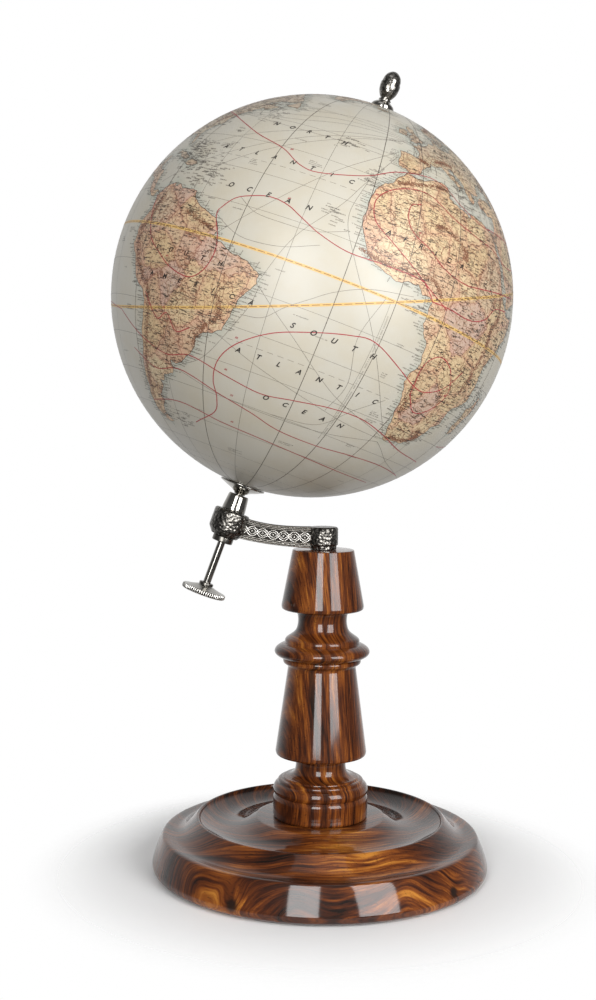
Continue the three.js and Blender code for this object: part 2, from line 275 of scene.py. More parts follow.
# ------------------------------------------------------------------ metal, felt and plain parts
def polished_nickel():
    n = Nodes("polished_nickel")
    here = n.place()
    cloud = n.noise(here, 160.0, 4.0, 0.6)
    n.set(Base_Color=n.ramp(cloud, [(0.3, (0.32, 0.305, 0.28)), (0.7, (0.50, 0.485, 0.45))]))
    n.set(Metallic=1.0, Roughness=n.span(n.noise(here, 420.0, 5.0, 0.7), 0.3, 0.75, 0.07, 0.20))
    n.bump(n.noise(here, 900.0, 3.0), 0.04, 0.0002)
    return n.material


def hammered_nickel():
    """Cast nickel beaten all over: shallow facets that glint, with dark skin between them."""
    n = Nodes("hammered_nickel")
    here = n.place()
    facets = n.voronoi(here, 420.0)
    pits = n.noise(here, 1500.0, 3.0, 0.7)
    n.set(Base_Color=n.ramp(facets, [(0.15, (0.30, 0.285, 0.26)), (0.55, (0.14, 0.132, 0.12)),
                                     (0.85, (0.03, 0.028, 0.025))]))
    n.set(Metallic=1.0, Roughness=n.span(pits, 0.35, 0.65, 0.34, 0.18))
    n.bump(facets, 0.6, 0.0008)
    return n.material


def relief_nickel():
    """The cast bar: black in the hollows of the ornament and rubbed bright on its high lines."""
    n = Nodes("relief_nickel")
    here = n.place()
    pits = n.noise(here, 1400.0, 4.0, 0.7)
    high = n.math("ADD", n.attribute("relief"), n.math("MULTIPLY", n.math("SUBTRACT", pits, 0.5), 0.5))
    n.set(Base_Color=n.ramp(high, [(0.05, (0.03, 0.028, 0.025)), (0.35, (0.24, 0.23, 0.21)),
                                   (0.70, (0.90, 0.88, 0.84))]))
    n.set(Metallic=1.0, Roughness=n.span(high, 0.1, 0.8, 0.5, 0.28))
    n.bump(pits, 0.25, 0.0003)
    return n.material


def knurled_nickel():
    """The thumb wheel: a painted highlight on its ribs and painted shade in the cuts between them."""
    n = Nodes("knurled_nickel")
    n.set(Base_Color=n.ramp(n.attribute("relief"),
                            [(0.1, (0.015, 0.014, 0.012)), (0.5, (0.30, 0.29, 0.265)),
                                                    (0.95, (0.85, 0.83, 0.79))]))
    n.set(Metallic=1.0, Roughness=0.26)
    return n.material


def antique_nickel():
    """The acorn: dull dark nickel with small bright dents."""
    n = Nodes("antique_nickel")
    here = n.place()
    dents = n.voronoi(here, 520.0)
    n.set(Base_Color=n.ramp(dents, [(0.2, (0.42, 0.40, 0.37)), (0.7, (0.12, 0.112, 0.10))]))
    n.set(Metallic=1.0, Roughness=0.22)
    n.bump(dents, 0.35, 0.0005)
    return n.material


def plain_metal(name, colour, roughness):
    n = Nodes(name)
    here = n.place()
    wear = n.noise(here, 260.0, 4.0, 0.6)
    dark = tuple(0.72 * c for c in colour)
    n.set(Base_Color=n.ramp(wear, [(0.3, dark), (0.7, colour)]), Metallic=1.0)
    n.set(Roughness=n.span(wear, 0.3, 0.7, roughness * 1.3, roughness * 0.8))
    n.bump(wear, 0.1, 0.0002)
    return n.material


def felt():
    n = Nodes("felt")
    here = n.place()
    fibre = n.noise(here, 1500.0, 5.0, 0.8)
    n.set(Base_Color=n.ramp(fibre, [(0.3, (0.008, 0.022, 0.013)), (0.7, (0.035, 0.075, 0.048))]))
    n.set(Roughness=0.95, Sheen_Weight=0.4, Sheen_Roughness=0.5)
    n.bump(fibre, 0.8, 0.0005)
    return n.material


def moulded(name, light, dark):
    n = Nodes(name)
    speck = n.noise(n.place(), 300.0, 4.0, 0.6)
    n.set(Base_Color=n.ramp(speck, [(0.35, dark), (0.65, light)]), Roughness=0.7)
    n.bump(speck, 0.2, 0.0003)
    return n.material


# ------------------------------------------------------------------ paper and inks
def varnish(n):
    n.set(Coat_Weight=0.4, Coat_Roughness=0.30, Coat_IOR=1.45)


def map_paper():
    """Aged chart paper: grey-green sea, hand-tinted lands, browned and mottled under varnish."""
    n = Nodes("map_paper")
    here = n.place()
    land = n.attribute("land")
    shore = n.attribute("shore")
    gore = n.attribute("gore")
    mottle = n.noise(here, 38.0, 5.0, 0.62)
    broad = n.noise(here, 9.0, 2.0, 0.5)
    sea = n.mix(broad, (0.425, 0.395, 0.325), (0.505, 0.485, 0.425))
    sea = n.mix(n.span(shore, 0.15, 1.0, 0.0, 0.5), sea, (0.330, 0.370, 0.325))
    warped = n.vector("ADD", here, n.vector("MULTIPLY", n.noise(here, 55.0, 4.0, 0.6, colour=True),
                                            (0.012, 0.012, 0.012)))
    cell = n.add("ShaderNodeSeparateColor")
    n.feed(cell.inputs["Color"], n.voronoi(warped, 34.0, output="Color"))
    tint = n.ramp(cell.outputs["Red"], [
        (0.0, (0.630, 0.490, 0.290)),
        (0.30, (0.610, 0.430, 0.240)),
        (0.50, (0.640, 0.510, 0.320)),
        (0.66, (0.570, 0.370, 0.250)),
        (0.80, (0.600, 0.470, 0.270)),
        (0.93, (0.520, 0.370, 0.300)),
    ])
    border = n.voronoi(warped, 34.0, feature="DISTANCE_TO_EDGE")
    blush = n.span(border, 0.02, 0.14, 0.35, 0.0)
    tint = n.mix(blush, tint, (0.600, 0.290, 0.200))
    tint = n.mix(n.span(shore, 0.5, 1.0, 0.0, 0.30), tint, (0.580, 0.300, 0.220))
    relief = n.noise(here, 420.0, 5.0, 0.75, 0.8)
    tint = n.mix(n.span(relief, 0.46, 0.62, 0.0, 0.55), tint, (0.330, 0.190, 0.110))
    dirt = n.noise(here, 1150.0, 3.0, 0.7)
    tint = n.mix(n.span(dirt, 0.52, 0.64, 0.0, 0.42), tint, (0.190, 0.085, 0.045))
    line = n.span(border, 0.004, 0.014, 0.75, 0.0)
    tint = n.mix(line, tint, (0.230, 0.080, 0.050))
    tint = n.mix(n.math("MULTIPLY", n.attribute("pale"), 0.6), tint, (0.400, 0.360, 0.270))
    colour = n.mix(land, sea, tint)
    colour = n.mix(n.span(mottle, 0.35, 0.7, 0.0, 0.22), colour, (0.430, 0.350, 0.210))
    colour = n.mix(n.math("MULTIPLY", gore, 0.10), colour, (0.360, 0.300, 0.180))
    n.set(Base_Color=colour, Roughness=0.5, Specular_IOR_Level=0.45)
    varnish(n)
    n.bump(n.noise(here, 240.0, 4.0, 0.6), 0.06, 0.0003)
    return n.material


def ink(name, colour):
    n = Nodes(name)
    n.set(Base_Color=rgba(colour), Roughness=0.55, Specular_IOR_Level=0.4)
    varnish(n)
    return n.material


# ------------------------------------------------------------------ meshes
def new_piece(name, verts, faces, material, body, replaced=(), sharp=None, normals=None):
    """One finished piece in the row frame, in metres, riding on its body."""
    mesh = bpy.data.meshes.new(name)
    mesh.from_pydata([tuple(v) for v in verts], [], [tuple(int(i) for i in f) for f in faces])
    mesh.validate()
    mesh.polygons.foreach_set("use_smooth", [True] * len(mesh.polygons))
    if sharp is not None:
        mesh.set_sharp_from_angle(angle=math.radians(sharp))
    if normals is not None:
        mesh.normals_split_custom_set_from_vertices([tuple(v) for v in normals])
    mesh.materials.append(material)
    piece = bpy.data.objects.new(name, mesh)
    bpy.context.scene.collection.objects.link(piece)
    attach(piece, body)
    if replaced:
        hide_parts(*replaced)
    return piece


def smooth(points, steps):
    """Points along a Catmull-Rom curve through the given ones, steps to each stretch."""
    given = [np.array(p, float) for p in points]
    padded = [2 * given[0] - given[1], *given, 2 * given[-1] - given[-2]]
    out = []
    for i in range(1, len(padded) - 2):
        a, b, c, d = padded[i - 1:i + 3]
        for j in range(steps):
            t = j / steps
            out.append(0.5 * (2 * b + (c - a) * t + (2 * a - 5 * b + 4 * c - d) * t ** 2
                              + (3 * b - a - 3 * c + d) * t ** 3))
    out.append(given[-1])
    return [tuple(p) for p in out]


def rounded(corners, fillet=0.5, steps=3):
    """A profile whose corners are eased; a corner may carry its own fillet as a third number."""
    out = []
    for i, corner in enumerate(corners):
        here = np.array(corner[:2], float)
        size = corner[2] if len(corner) > 2 else fillet
        if i in (0, len(corners) - 1) or size <= 0:
            out.append(tuple(here))
            continue
        before = np.array(corners[i - 1][:2], float) - here
        after = np.array(corners[i + 1][:2], float) - here
        reach = min(size, 0.45 * np.linalg.norm(before), 0.45 * np.linalg.norm(after))
        start = here + before / np.linalg.norm(before) * reach
        end = here + after / np.linalg.norm(after) * reach
        for j in range(steps + 1):
            t = j / steps
            out.append(tuple((1 - t) ** 2 * start + 2 * t * (1 - t) * here + t * t * end))
    return out


def lathe(profile, segments, place=UPRIGHT, ripple=None):
    """Turns a profile in mm about Z. It ends on the axis, or closes on itself if it is bored."""
    profile = [tuple(p) for p in profile]
    area = sum(a[0] * b[1] - b[0] * a[1] for a, b in zip(profile, profile[1:] + profile[:1]))
    if area < 0:
        profile.reverse()
    closed = profile[0][0] > 1e-6
    rings = []
    verts = []
    for radius, height in profile:
        if radius < 1e-6:
            rings.append([len(verts)] * segments)
            verts.append(place @ Vector((0, 0, height * MM)))
            continue
        rings.append([len(verts) + k for k in range(segments)])
        for k in range(segments):
            angle = 2 * math.pi * k / segments
            r = radius + (ripple(angle, height, radius) if ripple else 0.0)
            verts.append(place @ Vector((r * math.cos(angle) * MM, r * math.sin(angle) * MM,
                                         height * MM)))
    faces = []
    for low, high in zip(rings, rings[1:] + (rings[:1] if closed else [])):
        for k in range(segments):
            nxt = (k + 1) % segments
            corners = [low[k], low[nxt], high[nxt], high[k]]
            faces.append(list(dict.fromkeys(corners)))
    return verts, [f for f in faces if len(f) > 2]


def turned(name, profile, segments, material, body, replaced, place=UPRIGHT, ripple=None, sharp=32):
    verts, faces = lathe(profile, segments, place, ripple)
    return new_piece(name, verts, faces, material, body, replaced, sharp=sharp)


# ------------------------------------------------------------------ stand
def add_base(material):
    r = cad_radius("base_disc")
    z = COLUMN_FOOT
    profile = rounded([
        (4.2, 14, 0), (14, 14, 0), (14, 1.9, 0), (124.3, 1.9, 0), (124.3, 0.4, 0.2),
        (r - 5.5, 0.4, 2), (r - 0.6, 3.4, 3), (r, 7, 2), (r - 2.9, 17, 4), (r - 6.6, 25.6, 3),
        (r - 8.2, 28.6, 1.6), (r - 10.6, z - 12.6, 1.5),
    ], steps=5)
    profile += smooth([(r - 14, z - 13.2), (r - 19.4, z - 13.0), (r - 24.4, z - 10.8),
                       (r - 28.8, z - 6.9),
                       (r - 32.6, z - 2.9)], 8)
    profile += smooth([(r - 34.0, z - 1.3), (r - 35.2, z - 0.3), (r - 36.8, z - 0.6),
                       (r - 38.9, z - 3.6), (r - 49, z - 7.4), (r - 59, z - 8.4),
                       (r - 70, z - 6.4), (r - 79, z - 2.0), (r - 82.4, z - 0.3)], 8)
    profile += rounded([(r - 84, z - 0.1, 0.6), (15.3, z - 0.1, 0), (15.3, 31.7, 0), (4.2, 31.7, 0)])
    turned("base_turning", profile, 256, material, "stand", ("base_disc",))


def cad_radius(node):
    low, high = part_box(node)
    return (high[1] - low[1]) / 2 / MM


def add_column(material):
    foot = 42.0
    top = COLUMN_TOP
    profile = rounded([
        (4.2, foot - 10, 0), (15, foot - 10, 0.5), (15, foot, 0), (37.2, foot, 0.6),
        (37.9, foot + 1.6, 1),
        (37.9, 57.4, 0.9), (36.9, 59.2, 0.4), (36.4, 59.8, 0.3),
    ])
    profile += smooth([(36.6, 60.3), (37.5, 61.3), (37.9, 63.4), (37.5, 65.8), (36.3, 67.9),
                       (34.6, 69.2)], 5)
    profile += smooth([(34.3, 69.5), (34.3, 70.2), (33.8, 71.2), (32.6, 71.9), (31.2, 72.1)], 4)
    profile += smooth([(30.6, 72.3), (30.3, 73.0), (29.4, 73.5), (27.6, 73.7), (24.6, 74.5), (22.3, 76.0),
                       (20.8, 78.2), (20.1, 81.0), (20.0, 84.0), (20.5, 87.2), (22.0, 89.6),
                       (24.5, 90.4)], 5)
    profile += rounded([(34.0, 90.8, 1), (35.9, 91.4, 0.8), (36.5, 93.6, 1.0), (27.3, 160.6, 0.6),
                        (27.5, 162.0, 0.6), (28.4, 163.2, 0.4)], steps=5)
    profile += smooth([(29.6, 163.5), (30.8, 164.5), (31.3, 166.0), (31.1, 167.3), (30.5, 168.1)], 4)
    profile += smooth([(31.2, 168.4), (33.4, 168.9), (35.9, 170.2), (37.6, 171.8), (38.2, 173.4),
                       (37.9, 175.0),
                       (36.8, 176.7), (34.8, 178.2), (32.4, 179.4), (30.6, 179.9)], 5)
    profile += smooth([(29.9, 180.3), (30.0, 181.8), (29.7, 183.3), (28.6, 184.6), (26.9, 185.8),
                       (24.6, 187.4),
                       (22.4, 189.2), (20.9, 191.4), (20.0, 194.4), (19.6, 198.0), (19.9, 202.0),
                       (21.0, 205.0), (23.2, 206.7)], 5)
    profile += rounded([(31.4, 207.1, 0.8), (32.8, 207.9, 0.8), (33.2, 210.2, 1), (24.8, top, 0.7),
                        (4.2, top, 0)],
                       steps=5)
    turned("column_turning", profile, 192, material, "stand", ("column",))


# ------------------------------------------------------------------ arm casting
BOSS_AXIS = 192.5       # mm below the ball centre, on the axis, where the bar leaves the outer boss
INNER_BAR_Z = 264.6     # middle of the bar where it meets the column, mm above the floor
DENT_DEPTH = 0.22


def bar_path():
    """Middle of the bar as a cubic curve in the XZ plane, in mm."""
    centre = np.array([BALL_CENTRE.x, BALL_CENTRE.z]) / MM
    up = np.array([AXIS.x, AXIS.z])
    start = centre - up * BOSS_AXIS
    outward = np.array([up[1], -up[0]])
    points = [start, start + 23 * outward, np.array([-36, INNER_BAR_Z + 0.5]), np.array([0, INNER_BAR_Z])]

    def at(t):
        weights = [(1 - t) ** 3, 3 * t * (1 - t) ** 2, 3 * t * t * (1 - t), t ** 3]
        return sum(w * p for w, p in zip(weights, points))

    return at


def bar_relief(u, v):
    """Height of the ornament on the bar: u runs along in mm, v from -1 to 1 across. Returns 0 to 1."""
    edge = abs(v)
    height = 0.0
    for centre, width, rise in ((0.93, 0.075, 1.0), (0.76, 0.07, 0.9), (0.60, 0.055, 0.75)):
        height = max(height, rise * max(0.0, 1 - ((edge - centre) / width) ** 2))
    pitch = 17.0
    across = v * 8.2
    for phase in (0, math.pi):
        turn = 2 * math.pi * u / pitch + phase
        strand = 2.9 * math.sin(turn)
        lean = math.hypot(1, 2.9 * 2 * math.pi / pitch * math.cos(turn))
        under = 0.75 if math.sin(turn / 2) ** 2 > 0.5 else 1.0
        for offset in (-0.75, 0.75):
            gap = abs(across - strand - offset * lean) / lean
            height = max(height, under * max(0.0, 1 - (gap / 0.55) ** 2))
    eye = (u / (pitch / 2) + 0.5) % 1.0 - 0.5
    bead = math.hypot((abs(eye) - 0.5) * pitch / 2, across)
    return max(height, 0.9 * max(0.0, 1 - (bead / 1.0) ** 2))


def add_arm(bar_metal, boss_metal):
    path = bar_path()
    columns = 300
    rows = 84
    half_thickness = 4.5
    relief = 0.95
    start_t = 0.10
    end_t = 0.90
    verts = []
    heights = []
    travelled = 0.0
    previous = path(start_t)
    for i in range(columns + 1):
        t = start_t + (end_t - start_t) * i / columns
        here = path(t)
        travelled += float(np.linalg.norm(here - previous))
        previous = here
        tangent = path(t + 1e-3) - path(t - 1e-3)
        tangent /= np.linalg.norm(tangent)
        normal = np.array([-tangent[1], tangent[0]])
        half = 9 - 1.1 * 4 * t * (1 - t)
        section = []
        for j in range(rows + 1):
            v = 2 * j / rows - 1
            point = here + normal * half * v
            depth = half_thickness - relief * (1 - bar_relief(travelled, v))
            section.append((point, depth))
        for side in (-1, 1):
            for point, depth in section:
                verts.append((point[0] * MM, side * depth * MM, point[1] * MM))
                heights.append(1 - (half_thickness - depth) / relief)
    stride = 2 * (rows + 1)
    faces = []
    for i in range(columns):
        a = i * stride
        b = a + stride
        for j in range(rows):
            faces.append((a + j, b + j, b + j + 1, a + j + 1))
            back = rows + 1
            faces.append((a + back + j, a + back + j + 1, b + back + j + 1, b + back + j))
        faces.append((a + rows, b + rows, b + 2 * rows + 1, a + 2 * rows + 1))
        faces.append((a, a + rows + 1, b + rows + 1, b))
    end = columns * stride
    steps_across = range(rows + 1)
    faces.append([j for j in steps_across] + [2 * rows + 1 - j for j in steps_across])
    faces.append([end + rows - j for j in steps_across] + [end + rows + 1 + j for j in steps_across])
    bar = new_piece("arm_bar", verts, faces, bar_metal, "stand", ("arm",), sharp=50)
    bar.data.attributes.new("relief", "FLOAT", "POINT").data.foreach_set("value", heights)

    def hammered(angle, height, radius):
        if radius < 9:
            return 0.0
        dents_round = math.sin(angle * 23 + 3 * math.sin(height * 1.7))
        dents_up = math.sin(height * 2.3 + angle * 5)
        return -DENT_DEPTH * (1 + dents_round * dents_up) / 2

    def barrel(corners, steps):
        fine = []
        for a, b in zip(corners, corners[1:]):
            for k in range(steps):
                fine.append((a[0] + (b[0] - a[0]) * k / steps, a[1] + (b[1] - a[1]) * k / steps))
        fine.append(corners[-1])
        return fine

    outer = rounded([(6.3, -203, 0), (10.5, -203, 0.5), (14.2, -198.2, 0.8), (14.5, -196.8, 0.8)])
    outer += barrel([(14.5, -196), (14.5, -184.4)], 26)
    outer += rounded([(14.5, -183.4, 0.6), (13.3, -182, 0.8), (6.3, -182, 0)])
    turned("arm_outer_boss", outer, 200, boss_metal, "stand", (), AXIS_FRAME, hammered, 50)
    inner = rounded([(4.2, COLUMN_TOP + 0.3, 0), (10.6, COLUMN_TOP + 0.3, 0.4), (10.6, 258.4, 0.3),
                     (11.8, 259.2, 0.5), (11.8, 260.2, 0.2)])
    inner += barrel([(11.8, 260.6), (11.8, INNER_BAR_Z + 6.6)], 26)
    inner += rounded([(11.8, INNER_BAR_Z + 7.4, 0.5), (10.8, 273.3, 0.7), (0, 273.3, 0)])
    inner += [(0, 268.8), (4.2, 268.8)]
    turned("arm_inner_boss", inner, 180, boss_metal, "stand", (), UPRIGHT, hammered, 50)


def add_sleeve(metal):
    profile = rounded([(AXLE_HOLE_R, -181.7, 0), (9.3, -181.7, 0.3), (9.5, -180.9, 0.3),
                       (9.45, -179.6, 0.4),
                       (8.25, -169.2, 0.5), (7.6, -168.1, 0.5), (AXLE_HOLE_R, -168, 0.2)])
    turned("sleeve_turning", profile, 96, metal, "stand", ("taper_sleeve",), AXIS_FRAME)


# ------------------------------------------------------------------ spindle
def add_spindle(metal, dark_metal, knurl_metal, cast_metal):
    axle = rounded([(0, -250.5), (2.6, -250.5, 0), (3.1, -250.0, 0.2), (3.1, 187.1, 0.3),
                    (2.4, 187.6, 0), (0, 187.6)])
    turned("axle_rod", axle, 64, metal, "spindle", ("axle",), AXIS_FRAME)
    collar = rounded([(AXLE_HOLE_R, -208, 0), (7.9, -208, 0.5), (8.4, -207.4, 0.3), (8.4, -203.8, 0.3),
                      (8.1, -203.3, 0.2), (AXLE_HOLE_R, -203.3, 0)])
    turned("lock_collar_turning", collar, 96, dark_metal, "spindle", ("lock_collar",),
           AXIS_FRAME)
    nut = rounded([(AXLE_HOLE_R, -244.6, 0), (5.6, -244.6, 0.3), (5.8, -244.2, 0.2), (5.8, -242.7, 0.3),
                   (5.3, -242.2, 0.3), (AXLE_HOLE_R, -242.2, 0)])
    turned("wheel_jam_nut_turning", nut, 72, dark_metal, "spindle", ("wheel_jam_nut",),
           AXIS_FRAME)

    def fluted(angle, height, radius):
        if radius < 17.3:
            return 0.0
        return -KNURL_DEPTH * (0.5 + 0.5 * math.cos(KNURL_RIBS * angle)) ** 1.5

    wheel = rounded([(AXLE_HOLE_R, -251.6, 0), (16.4, -251.6, 0.5), (17.6, -251.0, 0.3),
                     (17.9, -250.3, 0.3),
                     (17.9, -248.6, 0.3), (17.5, -247.7, 0.3), (16.6, -247.4, 0.4), (14.4, -247.1, 0.6),
                     (8.6, -245.6, 1.2), (7.2, -245.0, 0.4), (AXLE_HOLE_R, -245.0, 0)], steps=4)
    wheel = turned("thumb_wheel_turning", wheel, 720, knurl_metal, "spindle", ("thumb_wheel",),
                   AXIS_FRAME, fluted, 50)
    local = [AXIS_FRAME.inverted() @ v.co for v in wheel.data.vertices]
    from_axis = [v.xy.length / MM for v in local]
    around = [math.cos(KNURL_RIBS * math.atan2(v.y, v.x)) for v in local]
    # On the wheel relief paints light and shade: 1.0 is a painted highlight on the ribs, 0.08 painted
    # shade in the cuts, 0.55 the plain faces
    bright = [0.55 if r < 17.0 else 0.08 if c > 0.1 else 1.0 for r, c in zip(from_axis, around)]
    wheel.data.attributes.new("relief", "FLOAT", "POINT").data.foreach_set("value", bright)
    flange = rounded([(AXLE_HOLE_R, 161.9, 0), (9.2, 161.9, 0.2), (9.6, 162.5, 0.2), (9.6, 165.3, 0.3),
                      (8.8, 166.9, 0.4), (7.2, 168.0, 0.3), (6.9, 168.4, 0.2)])
    flange += smooth([(5.6, 168.9), (4.9, 170.0), (5.2, 171.0), (4.5, 171.6)], 4)
    flange += [(AXLE_HOLE_R, 171.6)]
    turned("finial_flange_turning", flange, 96, metal, "spindle", ("finial_flange",),
           AXIS_FRAME)
    acorn = [(AXLE_HOLE_R, 187.9), (AXLE_HOLE_R, 171.9), (4.15, 171.9)]
    acorn += smooth([(4.3, 172.6), (5.6, 174.4), (7.3, 177.8), (8.0, 181.6), (8.05, 184.2)], 8)
    acorn += rounded([(8.0, 185.0, 0.4), (7.45, 185.3, 0.3)])
    acorn += smooth([(7.5, 186.0), (7.1, 189.0), (5.7, 192.2), (3.2, 194.6), (1.0, 195.5)], 8)
    acorn += [(0, 195.6), (0, 187.9)]
    turned("acorn_turning", acorn, 96, cast_metal, "spindle", ("acorn_finial",), AXIS_FRAME)


# ------------------------------------------------------------------ ball fittings
def add_ball_fittings(metal):
    washer = rounded([(AXLE_HOLE_R, 160.3, 0), (9.1, 160.1, 0.2), (9.2, 160.7, 0.2), (8.4, 161.4, 0.4),
                      (AXLE_HOLE_R, 161.6, 0)])
    turned("north_washer_turning", washer, 96, metal, "ball", ("north_washer",), AXIS_FRAME)
    rim = -math.sqrt(160 ** 2 - 18.5 ** 2) - 0.3
    dish = [(AXLE_HOLE_R, -160.3), (10.0, -160.05), (17.9, rim)]
    dish += rounded([(18.35, rim - 0.1, 0.2), (18.5, rim - 0.6, 0.3), (18.1, rim - 1.3, 0.4)])
    dish += smooth([(16.6, -161.2), (12.4, -163.0), (8.6, -164.4), (6.6, -165.4)], 6)
    dish += rounded([(6.2, -165.9, 0.3), (4.8, -166.4, 0.4), (4.5, -167.5, 0.3), (4.1, -167.7, 0.2),
                     (AXLE_HOLE_R, -167.7, 0)])
    turned("dished_washer_turning", dish, 128, metal, "ball", ("dished_washer",), AXIS_FRAME)


